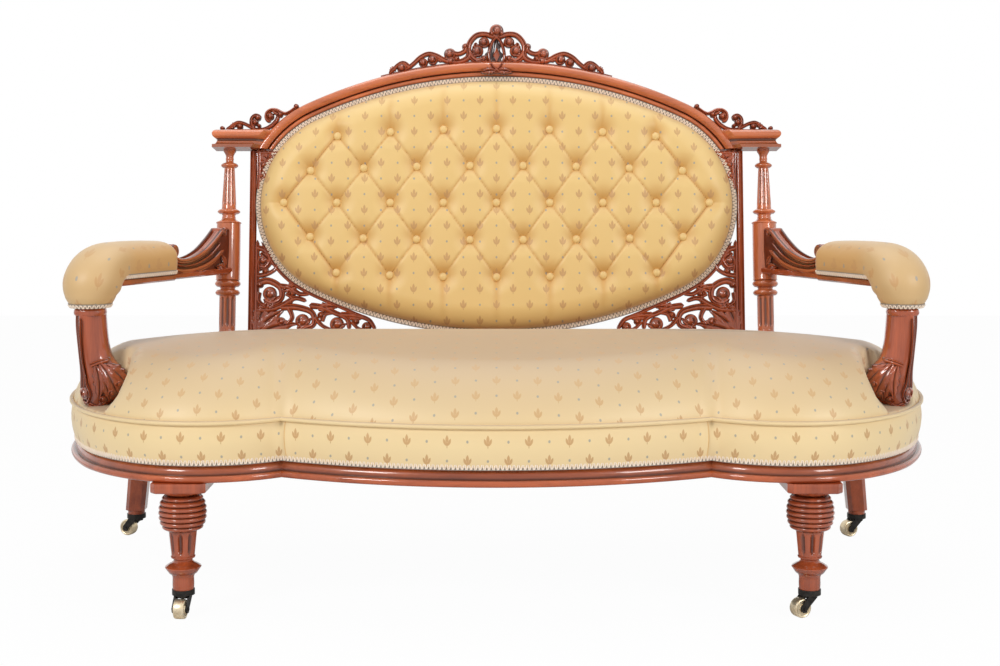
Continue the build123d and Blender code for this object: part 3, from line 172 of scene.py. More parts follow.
# %% Setting-out lines and helpers that make a piece
MM = 0.001
front_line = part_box("seat_moulding_front")[0].y
BACK_LINE_Y, BACK_LINE_Z, BACK_LEAN = 710, 450, math.radians(8)
SMOOTH_ANGLE = math.radians(38)
UP = np.array([0.0, 0.0, 1.0])


def full_turn(count):
    """Even angles once round."""
    return np.linspace(0, 2 * math.pi, count, endpoint=False)


def quarter_round(share):
    """Height of a quarter circle over a share of its reach, level past its end."""
    return np.sqrt(1 - (1 - np.clip(share, 0, 1)) ** 2)


def smooth_step(share):
    """Share that starts and stops gently."""
    return share**2 * (3 - 2 * share)


def units(rows):
    """Rows of directions, each made as long as 1."""
    return rows / np.maximum(np.linalg.norm(rows, axis=1, keepdims=True), 1e-6)


def all_along(line, direction):
    """One direction, or one for each point, all along a line."""
    return np.broadcast_to(direction, (len(line), 3))


def on_back(points):
    """Points drawn across, up and forward on the leaning back, as X, Y and Z."""
    x, up, out = np.asarray(points, float).T
    y = BACK_LINE_Y + up * math.sin(BACK_LEAN) - out * math.cos(BACK_LEAN)
    z = BACK_LINE_Z + up * math.cos(BACK_LEAN) + out * math.sin(BACK_LEAN)
    return np.column_stack([x, y, z])


def mirrored(points):
    """The same points on the other side of the settee."""
    return np.asarray(points, float) * (-1, 1, 1)


def in_frame(points):
    """Drawn points in metres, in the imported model's frame."""
    return np.asarray(points, float) * MM + (0, front_line, 0)


class Shape:
    """Points and faces of a piece while it is put together, with a depth of recess at each point, which the
    finishes darken as painted shade (in the wood, together with old dark polish).
    """

    def __init__(self):
        self.points = []
        self.faces = []
        self.recess = []

    def add(self, points, faces, recess=None):
        """Adds a mesh, with the recess of each of its points from 0, proud, to 1, hollow."""
        start = len(self.points)
        points = np.asarray(points, float).tolist()
        self.points += points
        self.faces += [tuple(start + index for index in face) for face in faces]
        self.recess += [0.0] * len(points) if recess is None else np.asarray(recess, float).tolist()
        return self

    def join(self, other):
        """Adds another shape."""
        return self.add(other.points, other.faces, other.recess)

    def moved(self, change):
        """The same shape with its points changed all at once."""
        copy = Shape()
        copy.points = np.asarray(change(np.asarray(self.points, float)), float).tolist()
        copy.faces = list(self.faces)
        copy.recess = list(self.recess)
        return copy


def skin(rings, loop=True, caps=True):
    """Points and faces of a skin over rings of equal count, each ring a loop or an open line."""
    rings = np.asarray(rings, float)
    rows, count = rings.shape[:2]
    faces = []
    for low in range(0, (rows - 1) * count, count):
        for index in range(count if loop else count - 1):
            after = (index + 1) % count
            faces.append((low + index, low + after, low + count + after, low + count + index))
    if caps and loop:
        faces.append(tuple(range(count)))
        faces.append(tuple(reversed(range((rows - 1) * count, rows * count))))
    return rings.reshape(-1, 3), faces


def make_piece(name, shape, finish, nodes=(), body="settee", smooth=SMOOTH_ANGLE):
    """Object from a drawn shape, with its finish, its body and the CAD nodes that it stands for."""
    mesh = bpy.data.meshes.new(name)
    mesh.from_pydata(in_frame(shape.points).tolist(), [], shape.faces)
    work = bmesh.new()
    work.from_mesh(mesh)
    bmesh.ops.recalc_face_normals(work, faces=work.faces)
    work.to_mesh(mesh)
    work.free()
    hollow = mesh.attributes.new("recess", "FLOAT", "POINT")
    hollow.data.foreach_set("value", np.asarray(shape.recess, np.float32))
    mesh.shade_smooth()
    mesh.set_sharp_from_angle(angle=smooth)
    mesh.materials.append(finish)
    made = bpy.data.objects.new(name, mesh)
    scene.collection.objects.link(made)
    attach(made, body)
    if nodes:
        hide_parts(*nodes)
    return made


def make_pair(name, shape, finish, node_name, smooth=SMOOTH_ANGLE):
    """The left piece and its mirror image on the right."""
    sides = (("left", shape), ("right", shape.moved(mirrored)))
    return [make_piece(f"{name}_{side}", drawn, finish, [f"{node_name}_{side}"], smooth=smooth)
            for side, drawn in sides]


print("front of the seat at y =", round(front_line, 4))

# %% [markdown]
# ## Finishes
#
# The wood is walnut under a red-brown polish. Every hollow of the carving is darkened, partly as old polish
# that has gone dark and partly as painted shade, and some pieces take a lighter walnut as painted light. The
# cover is a gold-cream satin woven with rows of small three-lobed leaves and blue-grey dots, with painted
# shade round its buttons and in its creases. The
# rest is braid, worn brass, blackened iron, and the plain cloths under the seat and behind the back.
# Shared effects are node groups, so that each finish only says what is its own.


# %% Wood, with its grain, and hollows darkened by old polish and painted shade
def new_group(name, inputs, outputs):
    """Empty node group with named sockets, and its two end nodes."""
    group = bpy.data.node_groups.new(name, "ShaderNodeTree")
    for socket, kind, value in inputs:
        made = group.interface.new_socket(socket, in_out="INPUT", socket_type=kind)
        made.default_value = value
    for socket, kind in outputs:
        group.interface.new_socket(socket, in_out="OUTPUT", socket_type=kind)
    return group, group.nodes.new("NodeGroupInput"), group.nodes.new("NodeGroupOutput")


def use_group(tree, group, inputs=None):
    """Node that uses a group in a tree."""
    return node(tree, "ShaderNodeGroup", inputs, node_tree=group)


def blend_colours(tree, share, first, second):
    """Mix of two colours by a share."""
    return node(tree, "ShaderNodeMix", {0: share, 6: first, 7: second}, data_type="RGBA").outputs[2]


def noise(tree, vector, scale, detail, distortion=0.0):
    """Soft noise over a surface."""
    inputs = {"Vector": vector, "Scale": scale, "Detail": detail, "Distortion": distortion}
    return node(tree, "ShaderNodeTexNoise", inputs).outputs[0]


def raised(tree, height, strength, distance):
    """Normal of a surface that a height raises."""
    inputs = {"Height": height, "Strength": strength, "Distance": distance}
    return node(tree, "ShaderNodeBump", inputs).outputs[0]


def depth_of_recess(tree):
    """Depth of recess that each drawn point carries: the mask of the painted shade."""
    return node(tree, "ShaderNodeAttribute", attribute_name="recess").outputs["Fac"]


COLOUR, VALUE, VECTOR = "NodeSocketColor", "NodeSocketFloat", "NodeSocketVector"
BLACK = (0, 0, 0, 1)
grain, given, result = new_group(
    "wood_grain_and_hollow_shade",
    [("Stretch", VECTOR, (40, 40, 2.5)), ("Dark", COLOUR, BLACK), ("Light", COLOUR, WHITE),
     ("Hollow", COLOUR, BLACK)],
    [("Colour", COLOUR), ("Roughness", VALUE), ("Height", VALUE)],
)
place = node(grain, "ShaderNodeTexCoord").outputs["Object"]
drawn = node(grain, "ShaderNodeVectorMath", {0: place, 1: given.outputs["Stretch"]}, operation="MULTIPLY")
figure = noise(grain, drawn.outputs[0], 1, 5, 0.6)
pores = noise(grain, drawn.outputs[0], 9, 2)
cloud = noise(grain, place, 7, 2)
tone = calc(grain, "MULTIPLY_ADD", pores, 0.35, calc(grain, "MULTIPLY", figure, 0.9))
tone = calc(grain, "MULTIPLY_ADD", cloud, 0.5, calc(grain, "SUBTRACT", tone, 0.38), clamp=True)
timber = blend_colours(grain, tone, given.outputs["Dark"], given.outputs["Light"])
# Painted shade: the hollow colour, old dark polish together with shade, is laid on by the depth of recess.
deep = calc(grain, "MULTIPLY", depth_of_recess(grain), 0.92, clamp=True)
fill(grain, result, {
    "Colour": blend_colours(grain, deep, timber, given.outputs["Hollow"]),
    "Roughness": calc(grain, "MULTIPLY_ADD", deep, 0.35, 0.16),
    "Height": tone,
})


def finish_named(name, slot):
    """New material with its tree, its Principled node and the record's slot that it belongs to."""
    material = bpy.data.materials.new(name)
    material["slot"] = slot
    tree = tree_of(material)
    surface = node(tree, "ShaderNodeBsdfPrincipled")
    node(tree, "ShaderNodeOutputMaterial", {"Surface": surface.outputs[0]})
    return material, tree, surface


def wood(name, slot, stretch, tones, coat):
    """Polished wood whose grain runs along the axis with the smallest stretch."""
    material, tree, surface = finish_named(name, slot)
    dark, light, hollow = tones
    figured = use_group(tree, grain, {"Stretch": stretch, "Dark": dark, "Light": light, "Hollow": hollow})
    fill(tree, surface, {
        "Base Color": figured.outputs["Colour"], "Roughness": figured.outputs["Roughness"],
        "Normal": raised(tree, figured.outputs["Height"], 0.06, 0.001), "Specular IOR Level": 0.3,
        "Coat Weight": coat, "Coat Roughness": 0.07,
    })
    return material


ALONG_X, ALONG_Y, ALONG_Z = (2.5, 45, 45), (45, 2.5, 45), (45, 45, 2.5)
# The last tone of each set is the colour of the hollows: old dark polish together with painted shade.
DARK_POLISH_AND_SHADE = (0.012, 0.004, 0.003, 1)
DEEP_TONES = (0.15, 0.024, 0.009, 1), (0.63, 0.13, 0.038, 1), DARK_POLISH_AND_SHADE
RAIL_TONES = (0.19, 0.030, 0.010, 1), (0.74, 0.165, 0.046, 1), DARK_POLISH_AND_SHADE
# The columns, the arch and the shelves take a lighter copy of the walnut: painted light, for the broad bright
# reflections on them.
PAINTED_LIGHT_TONES = (0.27, 0.055, 0.020, 1), (0.92, 0.26, 0.09, 1), DARK_POLISH_AND_SHADE
BEECH_TONES = (0.32, 0.19, 0.10, 1), (0.50, 0.33, 0.19, 1), (0.2, 0.1, 0.05, 1)
walnut = wood("polished_walnut", "walnut", ALONG_Z, DEEP_TONES, 0.9)
walnut_arm = wood("polished_walnut_arm", "walnut", ALONG_Y, DEEP_TONES, 0.9)
walnut_rail = wood("polished_walnut_rail", "walnut", ALONG_X, RAIL_TONES, 0.7)
# Lighter copies of the walnut, as painted light.
walnut_with_painted_light = wood("walnut_with_painted_light", "walnut", ALONG_Z, PAINTED_LIGHT_TONES, 0.9)
walnut_rail_with_painted_light = wood("walnut_rail_with_painted_light", "walnut", ALONG_X, PAINTED_LIGHT_TONES, 0.9)
beech = wood("raw_beech", "beech", ALONG_X, BEECH_TONES, 0)
print("woods:", walnut.name, walnut_with_painted_light.name, beech.name)

# %% Satin with rows of leaves and dots
LEAF_PITCH, ROW_PITCH = 0.073, 0.035
lobe, given, result = new_group(
    "pointed_lobe",
    [("Point", VECTOR, (0, 0, 0)), ("Middle", VECTOR, (0, 0, 0)), ("Turn", VECTOR, (0, 0, 0)),
     ("Size", VECTOR, (1, 1, 1))],
    [("Distance", VALUE)],
)
local = node(lobe, "ShaderNodeMapping", {
    "Vector": given.outputs["Point"], "Location": given.outputs["Middle"],
    "Rotation": given.outputs["Turn"], "Scale": given.outputs["Size"],
}, vector_type="TEXTURE")
parts = node(lobe, "ShaderNodeSeparateXYZ", {0: local.outputs[0]})
bulge = calc(lobe, "MULTIPLY", parts.outputs[1], parts.outputs[1])
fill(lobe, result, {"Distance": calc(lobe, "ADD", calc(lobe, "ABSOLUTE", parts.outputs[0]), bulge)})

sprig, given, result = new_group(
    "woven_sprigs", [("Cloth", VECTOR, (0, 0, 0))], [("Leaf", VALUE), ("Dot", VALUE)],
)
parts = node(sprig, "ShaderNodeSeparateXYZ", {0: given.outputs["Cloth"]})
row = calc(sprig, "DIVIDE", parts.outputs[1], ROW_PITCH)
odd = calc(sprig, "FLOORED_MODULO", calc(sprig, "FLOOR", row), 2.0)
column = calc(sprig, "MULTIPLY_ADD", odd, 0.5, calc(sprig, "DIVIDE", parts.outputs[0], LEAF_PITCH))
up = calc(sprig, "MULTIPLY", calc(sprig, "SUBTRACT", calc(sprig, "FRACT", row), 0.5), ROW_PITCH)


def cloth_point(shift):
    """Place on the cloth from the nearest leaf, or from the nearest dot half a pitch away."""
    turn = calc(sprig, "FRACT", calc(sprig, "ADD", column, shift))
    across = calc(sprig, "MULTIPLY", calc(sprig, "SUBTRACT", turn, 0.5), LEAF_PITCH)
    return node(sprig, "ShaderNodeCombineXYZ", {0: across, 1: up}).outputs[0]


def inside(distance, edge, full):
    """1 within a distance, fading to 0 at its edge."""
    return node(sprig, "ShaderNodeMapRange", {"Value": distance, 1: edge, 2: full, 3: 0, 4: 1}).outputs[0]


leaf_point = cloth_point(0.0)
LOBES = [
    ((0, 0.0040, 0), 0, (0.0030, 0.0082, 1)),
    ((0.0043, -0.0008, 0), -20, (0.0026, 0.0072, 1)),
    ((-0.0043, -0.0008, 0), 20, (0.0026, 0.0072, 1)),
    ((0, -0.0045, 0), 0, (0.0038, 0.0034, 1)),
    ((0, -0.0092, 0), 0, (0.0008, 0.0030, 1)),
]
nearest = None
for middle, turn, size in LOBES:
    petal = use_group(sprig, lobe, {
        "Point": leaf_point, "Middle": middle, "Turn": (0, 0, math.radians(turn)), "Size": size,
    }).outputs[0]
    nearest = petal if nearest is None else calc(sprig, "MINIMUM", nearest, petal)
DOT_SIZE = (0.0022, 0.0028, 1)
dot = node(sprig, "ShaderNodeVectorMath", {0: cloth_point(0.5), 1: DOT_SIZE}, operation="DIVIDE").outputs[0]
reach = node(sprig, "ShaderNodeVectorMath", {0: dot}, operation="LENGTH").outputs["Value"]
fill(sprig, result, {"Leaf": inside(nearest, 1.1, 0.7), "Dot": inside(reach, 1.1, 0.8)})

LEAF_COLOUR, DOT_COLOUR, PATCH_COLOUR = (0.60, 0.34, 0.14, 1), (0.32, 0.32, 0.30, 1), (0.86, 0.52, 0.19, 1)
# Painted shade of the satin: amber in its folds and round the buttons, and thin dark shadows along the
# creases.
FOLD_SHADE_COLOUR, PLEAT_SHADOW_COLOUR = (0.62, 0.29, 0.055, 1), (0.27, 0.11, 0.025, 1)


def satin(name, ground, top_colour, top_share):
    """Sprigged satin: a ground colour, and an upper one: wear on the seat, painted top light on the back."""
    material, tree, surface = finish_named(name, "sprigged_satin")
    cloth = node(tree, "ShaderNodeUVMap", uv_map="cloth").outputs[0]
    woven = use_group(tree, sprig, {"Cloth": cloth}).outputs
    facing = node(tree, "ShaderNodeSeparateXYZ", {0: node(tree, "ShaderNodeNewGeometry").outputs["Normal"]})
    # Second colour on upward faces: wear on the seat, painted light from above on the back.
    upward = calc(tree, "POWER", calc(tree, "MAXIMUM", facing.outputs[2], 0.0), 1.5)
    top_wear_and_light = calc(tree, "MULTIPLY", upward, top_share)
    patches = noise(tree, node(tree, "ShaderNodeTexCoord").outputs["Object"], 3.5, 3)
    # Painted shade in folds and creases, carried by the depth of recess.
    fold_shade = depth_of_recess(tree)
    leaf_strength = calc(tree, "MULTIPLY_ADD", top_wear_and_light, -0.55, 0.88)
    colour = ground
    for share, over in (
        (top_wear_and_light, top_colour),
        (calc(tree, "MULTIPLY", patches, 0.22), PATCH_COLOUR),
        (calc(tree, "MULTIPLY", fold_shade, 0.85, clamp=True), FOLD_SHADE_COLOUR),
        (calc(tree, "MULTIPLY_ADD", fold_shade, 4.0, -3.2, clamp=True), PLEAT_SHADOW_COLOUR),
        (calc(tree, "MULTIPLY", woven["Leaf"], leaf_strength), LEAF_COLOUR),
        (calc(tree, "MULTIPLY", woven["Dot"], 0.75), DOT_COLOUR),
    ):
        colour = blend_colours(tree, share, colour, over)
    rib = node(tree, "ShaderNodeTexWave", {"Vector": cloth, "Scale": 300, "Distortion": 0.4}).outputs[1]
    fill(tree, surface, {
        "Base Color": colour, "Normal": raised(tree, rib, 0.05, 0.0006), "Roughness": 0.46,
        "Sheen Weight": 0.25, "Sheen Roughness": 0.4,
    })
    return material


# The second colour lies on upward faces: on the seat it is wear, on the back painted light from above, on the
# arms a paler top.
satin_back = satin("sprigged_satin_back", (0.82, 0.57, 0.22, 1), (0.86, 0.69, 0.38, 1), 0.6)
satin_seat = satin("sprigged_satin_seat", (0.89, 0.70, 0.39, 1), (0.45, 0.325, 0.215, 1), 0.95)
satin_arm = satin("sprigged_satin_arm", (0.63, 0.42, 0.20, 1), (0.65, 0.46, 0.25, 1), 0.8)
print("satins:", satin_back.name, satin_seat.name, satin_arm.name)


# %% Braid, metals and plain cloths
def plain(name, first, second, scale, rough, metal=0.0, slot=None):
    """Finish with two tones that drift into each other, and painted shade in its hollows."""
    material, tree, surface = finish_named(name, slot or name)
    drift = noise(tree, node(tree, "ShaderNodeTexCoord").outputs["Object"], scale, 4)
    colour = blend_colours(tree, calc(tree, "MULTIPLY_ADD", drift, 2.0, -0.5, clamp=True), first, second)
    dark = tuple(0.16 * value for value in first[:3]) + (1,)
    deep = calc(tree, "MULTIPLY", depth_of_recess(tree), 0.9, clamp=True)
    fill(tree, surface, {
        "Base Color": blend_colours(tree, deep, colour, dark), "Normal": raised(tree, drift, 0.1, 0.001),
        "Roughness": rough, "Metallic": metal,
    })
    return material


braid_finish = plain("gimp_braid", (0.95, 0.83, 0.71, 1), (0.88, 0.73, 0.58, 1), 60, 0.75)
brass = plain("worn_brass", (0.66, 0.52, 0.32, 1), (0.80, 0.70, 0.52, 1), 90, 0.36, 0.85, slot="brass")
iron = plain("blackened_iron", (0.016, 0.015, 0.014, 1), (0.05, 0.045, 0.04, 1), 120, 0.42, 0.8)
webbing = plain("jute_webbing", (0.36, 0.26, 0.15, 1), (0.46, 0.34, 0.20, 1), 200, 0.9)
black_cloth = plain("black_cloth", (0.02, 0.02, 0.02, 1), (0.035, 0.033, 0.03, 1), 150, 0.95)
back_cloth = plain("outside_back_cloth", (0.60, 0.44, 0.22, 1), (0.66, 0.50, 0.28, 1), 130, 0.85)
steel = plain("spring_steel", (0.30, 0.30, 0.30, 1), (0.20, 0.19, 0.18, 1), 60, 0.4, 0.9)
FINISHES = (walnut, beech, satin_seat, braid_finish, brass, iron, webbing, black_cloth, back_cloth, steel)
finish_of_slot = {finish["slot"]: finish for finish in FINISHES}
for entry in frame["record"]["subparts"]:
    mesh = frame["nodes"][entry["node"]].data
    mesh.materials.clear()
    mesh.materials.append(finish_of_slot[entry["material_slot"]])

print("finishes:", len(finish_of_slot))

# %% [markdown]
# ## The seat
#
# The seat's plan is a chain of arcs: a bow in the middle and, on each side, a knuckle, a cheek, a side
# and a back corner that run into each other. The upholsterer pulls one cover over the springs, sews a
# piping cord round its edge, boxes the side and tacks the boxing on the rail under a braid. So the
# rim, the braid, the boxing, the piping and the dome all follow the same line, drawn in by different
# amounts. The dome falls away towards the two ends. It sinks a little at the two breaks, where a seam
# holds the cover down, and more under the two arm supports, whose feet press on its edge.

# %% Plan of the seat
BOW_RADIUS, KNUCKLE_RADIUS, CHEEK_RADIUS, SIDE_RADIUS, CORNER_RADIUS = 850, 230, 380, 700, 190
KNUCKLE_X, KNUCKLE_Y = 545, 272
KNUCKLE_END, CHEEK_END = math.radians(34), math.radians(62)
RIM_LOW, RIM_HIGH, PIPING_HEIGHT, CROWN = 253, 283, 362, 497
BACK_GAP = 626


def inward(angle):
    """Direction into the seat where the left side of the plan runs at an angle to the front."""
    return np.array([math.sin(angle), math.cos(angle)])


bow_centre = np.array([0, BOW_RADIUS])
knuckle_centre = np.array([-KNUCKLE_X, KNUCKLE_Y])
cheek_centre = knuckle_centre + inward(KNUCKLE_END) * (CHEEK_RADIUS - KNUCKLE_RADIUS)
side_centre = cheek_centre + inward(CHEEK_END) * (SIDE_RADIUS - CHEEK_RADIUS)
corner_centre = side_centre - inward(math.pi / 2) * (SIDE_RADIUS - CORNER_RADIUS)
SEAT_BACK = corner_centre[1] + CORNER_RADIUS


def break_point(inset):
    """Where the bow meets the left knuckle, with both drawn in."""
    bow, knuckle = BOW_RADIUS - inset, KNUCKLE_RADIUS - inset
    between = knuckle_centre - bow_centre
    distance = np.linalg.norm(between)
    along = (bow**2 - knuckle**2 + distance**2) / (2 * distance)
    unit = between / distance
    return bow_centre + unit * along + np.array([-unit[1], unit[0]]) * math.sqrt(bow**2 - along**2)


def bow_line(inset, count):
    """Points along the middle bow from left to right."""
    reach = math.asin(-break_point(inset)[0] / (BOW_RADIUS - inset))
    turns = np.linspace(-reach, reach, count)
    return np.column_stack([np.sin(turns), -np.cos(turns)]) * (BOW_RADIUS - inset) + bow_centre


def left_line(inset, count, tail=None):
    """Points from the left break round to the back, and along the back as far as the tail."""
    first = math.atan2(*(knuckle_centre - break_point(inset)))
    lines = []
    for centre, radius, low, high in (
        (knuckle_centre, KNUCKLE_RADIUS, first, KNUCKLE_END),
        (cheek_centre, CHEEK_RADIUS, KNUCKLE_END, CHEEK_END),
        (side_centre, SIDE_RADIUS, CHEEK_END, math.pi / 2),
        (corner_centre, CORNER_RADIUS, math.pi / 2, math.pi),
    ):
        turns = np.linspace(low, high, count)[:-1]
        lines.append(centre - np.column_stack([np.sin(turns), np.cos(turns)]) * (radius - inset))
    straight = corner_centre[:1] if tail is None else np.linspace(corner_centre[0], -tail, count)
    lines.append(np.column_stack([straight, np.full(len(straight), SEAT_BACK - inset)]))
    return np.vstack(lines)


def seat_line(inset, count=14, tail=BACK_GAP):
    """The seat's edge from the back on the left, round the front, to the back on the right."""
    left = left_line(inset, count, tail)
    right = left * (-1, 1)
    return np.vstack([left[::-1], bow_line(inset, 2 * count)[1:-1], right])


def at_height(line, height):
    """Line of a plan at a height, or at a height for each point, as points in space."""
    return np.column_stack([line, np.broadcast_to(height, len(line))])


print("seat depth", round(SEAT_BACK, 1), "mm; half width", round(-left_line(0, 14)[:, 0].min(), 1), "mm")

# %% Walnut rim under the upholstery
def rounded(centre, radii, low, high, count):
    """Points of a section along part of an oval, from one turn to another."""
    return [(centre[0] + radii[0] * math.cos(turn), centre[1] + radii[1] * math.sin(turn))
            for turn in np.linspace(low, high, count)]


RIM_BACK, RIM_BEAD, RIM_QUIRK, RIM_HOLLOW, REST_OF_BACK = 22, 6, 8.5, 8, 640
rim_section = [(RIM_BACK, RIM_LOW), (RIM_BEAD, RIM_LOW)]
bead_start, bead_end = math.pi / 2 + 0.2, 1.5 * math.pi - 0.15
rim_section += rounded((RIM_BEAD, RIM_LOW + 6.5), (RIM_BEAD, -6.5), bead_start, bead_end, 9)
rim_section += [(RIM_QUIRK, RIM_LOW + 13.5)]
rim_section += rounded((RIM_QUIRK + RIM_HOLLOW, RIM_LOW + 14), (-RIM_HOLLOW, 13), 0, 1.4, 6)
rim_section += [(15.5, RIM_HIGH - 2.4), (15.8, RIM_HIGH), (RIM_BACK, RIM_HIGH)]
# Painted shade: how dark each height of the rim's section is, darkest in the quirk.
SHADE_HEIGHTS, SHADES = (252, 264, 266.5, 267.5, 272, 283), (0, 0, 0.95, 0.6, 0.25, 0.35)
rim_shade = np.interp([up for _, up in rim_section], SHADE_HEIGHTS, SHADES)


def rim_length(line):
    """Length of rim along a line of the plan that takes an inset."""
    rings = np.stack([at_height(line(inset), up) for inset, up in rim_section], axis=1)
    return Shape().add(*skin(rings), recess=np.tile(rim_shade, len(rings)))


def back_straight(inset):
    """The straight length of the rim behind the seat."""
    return np.array([(x, SEAT_BACK - inset) for x in (-REST_OF_BACK, REST_OF_BACK)], float)


rim_front = rim_length(lambda inset: bow_line(inset, 40))
rim_left = rim_length(lambda inset: left_line(inset, 14, REST_OF_BACK))
make_piece("seat_rim_front", rim_front, walnut_rail, ["seat_moulding_front"])
make_pair("seat_rim", rim_left, walnut_rail, "seat_moulding")
make_piece("seat_rim_back", rim_length(back_straight), walnut_rail, ["seat_moulding_back"])
print("points round the rim's section:", len(rim_section))

# %% Swelling a pad
SWELL_PRESSURE, SWELL_FRAMES = 4.0, 20


def plump(piece, held, most):
    """Swells a pad with Cloth; the held points stay, and no point moves by more than a limit in mm."""
    start = np.zeros(len(piece.data.vertices) * 3, np.float32)
    piece.data.vertices.foreach_get("co", start)
    group = piece.vertex_groups.new(name="held")
    group.add(np.flatnonzero(held).tolist(), 1.0, "REPLACE")
    cloth = piece.modifiers.new("swelling", "CLOTH")
    cloth.settings.quality = 6
    cloth.settings.use_pressure = True
    cloth.settings.uniform_pressure_force = SWELL_PRESSURE
    cloth.settings.effector_weights.gravity = 0
    cloth.settings.vertex_group_mass = "held"
    cloth.collision_settings.use_collision = False
    cloth.point_cache.frame_end = SWELL_FRAMES
    for step in range(1, SWELL_FRAMES + 1):
        scene.frame_set(step)
    swollen = np.zeros_like(start)
    shown = piece.evaluated_get(bpy.context.evaluated_depsgraph_get())
    shown.data.vertices.foreach_get("co", swollen)
    piece.modifiers.remove(cloth)
    piece.vertex_groups.remove(group)
    scene.frame_set(1)
    change = (swollen - start).reshape(-1, 3)
    far = np.linalg.norm(change, axis=1, keepdims=True)
    change *= np.minimum(1, most * MM / np.maximum(far, 1e-9))
    piece.data.vertices.foreach_set("co", (start.reshape(-1, 3) + change).ravel())
    piece.data.update()
    print(piece.name, "swelled by up to", round(float(np.linalg.norm(change, axis=1).max()) / MM, 1), "mm")


# %% Stuffed seat: boxing, edge and dome
CROWN_REACH, CROWN_ROUNDING, CROWN_RISE = 116, 2 * 1100, 0.62
BOXING_FOOT, BOXING_HEAD, BOXING_SWELL, BOXING_ROWS = 10, 6, 7, 9
EDGE_SHARES = (0.012, 0.04, 0.08, 0.13, 0.2, 0.28, 0.37, 0.47, 0.58, 0.7, 0.82, 0.92, 1)


def crown_height(y):
    """Height of the dome's top at a depth of the seat."""
    return CROWN - (y - SEAT_BACK / 2) ** 2 / CROWN_ROUNDING


def boxing_place(share):
    """Inset and height of the boxing at a share of the way from the rim up to the piping."""
    inset = BOXING_FOOT + (BOXING_HEAD - BOXING_FOOT) * share - BOXING_SWELL * np.sin(math.pi * share)
    return inset, RIM_HIGH + (PIPING_HEIGHT - RIM_HIGH) * share


def seat_rings():
    """Closed rings of the seat from the tacked edge up over the dome."""
    rings = []
    for share in np.linspace(0, 1, BOXING_ROWS):
        inset, height = boxing_place(share)
        rings.append(at_height(seat_line(inset, tail=1), height))
    for share in EDGE_SHARES:
        line = seat_line(BOXING_HEAD + CROWN_REACH * share, tail=1)
        rise = math.sin(math.pi / 2 * share) ** CROWN_RISE
        rings.append(at_height(line, PIPING_HEIGHT + (crown_height(line[:, 1]) - PIPING_HEIGHT) * rise))
    edge = rings[-1]
    spine = np.column_stack([np.clip(edge[:, 0], -KNUCKLE_X, KNUCKLE_X), np.full(len(edge), SEAT_BACK / 2)])
    for share in np.linspace(0.1, 0.8, 8):
        line = edge[:, :2] * (1 - share) + spine * share
        rings.append(at_height(line, crown_height(line[:, 1])))
    return np.array(rings)


END_START, END_FALL = 400, 72
NOTCH_START, NOTCH_SHARE = 645, 0.05
BREAK_DIP, BREAK_WIDTH, BREAK_REACH = 5, 22, 110
FOOT_X, FOOT_Y, FOOT_LEVEL, EDGE_X, EDGE_Y = 764, 240, 368, 752, 165
WELL_FLAT, WELL_SLOPE, WELL_RISE, WELL_EASE, WELL_HELD = 33, 54, 165, 5, 60
rings = seat_rings()
ring_x, ring_y, ring_z = np.moveaxis(rings, 2, 0)
above = np.clip((ring_z - PIPING_HEIGHT) / (CROWN - PIPING_HEIGHT), 0, 1)
ring_z -= (np.maximum(np.abs(ring_x) - END_START, 0) / END_FALL) ** 2 * above
notch = (np.abs(ring_x) < BACK_GAP) & (ring_y > NOTCH_START)
ring_y[notch] = NOTCH_START + NOTCH_SHARE * (ring_y[notch] - NOTCH_START)
break_x = -break_point(60)[0]
for side in (-1, 1):
    beyond = ((ring_x - side * break_x) / BREAK_WIDTH) ** 2 + (ring_y / BREAK_REACH - 1) ** 2
    dip = np.exp(-beyond)
    ring_z -= BREAK_DIP * dip * (ring_z > PIPING_HEIGHT + BREAK_DIP)
foot_line = np.array([EDGE_X - FOOT_X, EDGE_Y - FOOT_Y])
from_foot = np.stack([np.abs(ring_x) - FOOT_X, ring_y - FOOT_Y], axis=2)
share = np.clip(from_foot @ foot_line / (foot_line @ foot_line), 0, 1)
beside = np.linalg.norm(from_foot - share[:, :, None] * foot_line, axis=2)
pressed = FOOT_LEVEL + WELL_RISE * smooth_step(np.clip((beside - WELL_FLAT) / WELL_SLOPE, 0, 1))
eased = -WELL_EASE * np.logaddexp(-ring_z / WELL_EASE, -pressed / WELL_EASE)
ring_z[:] = np.where(ring_z > PIPING_HEIGHT, np.maximum(eased, PIPING_HEIGHT), ring_z)
seat_pad = make_piece("stuffed_seat", Shape().add(*skin(rings)), satin_seat, ["seat_pad"], smooth=math.pi)
row_of_point = np.repeat(np.arange(len(rings)), rings.shape[1])
tacked = (row_of_point == 0) | (row_of_point == BOXING_ROWS - 1)
tacked |= row_of_point >= BOXING_ROWS + len(EDGE_SHARES)
tacked |= (notch | (beside < WELL_HELD)).ravel()
plump(seat_pad, tacked, 4)
print("seat rings:", len(rings), "of", rings.shape[1], "points")


# %% The cover's pattern on the seat
def lengths_along(line):
    """Distance of each point of a line from its start."""
    return np.concatenate([[0], np.cumsum(np.linalg.norm(np.diff(line, axis=0), axis=1))])


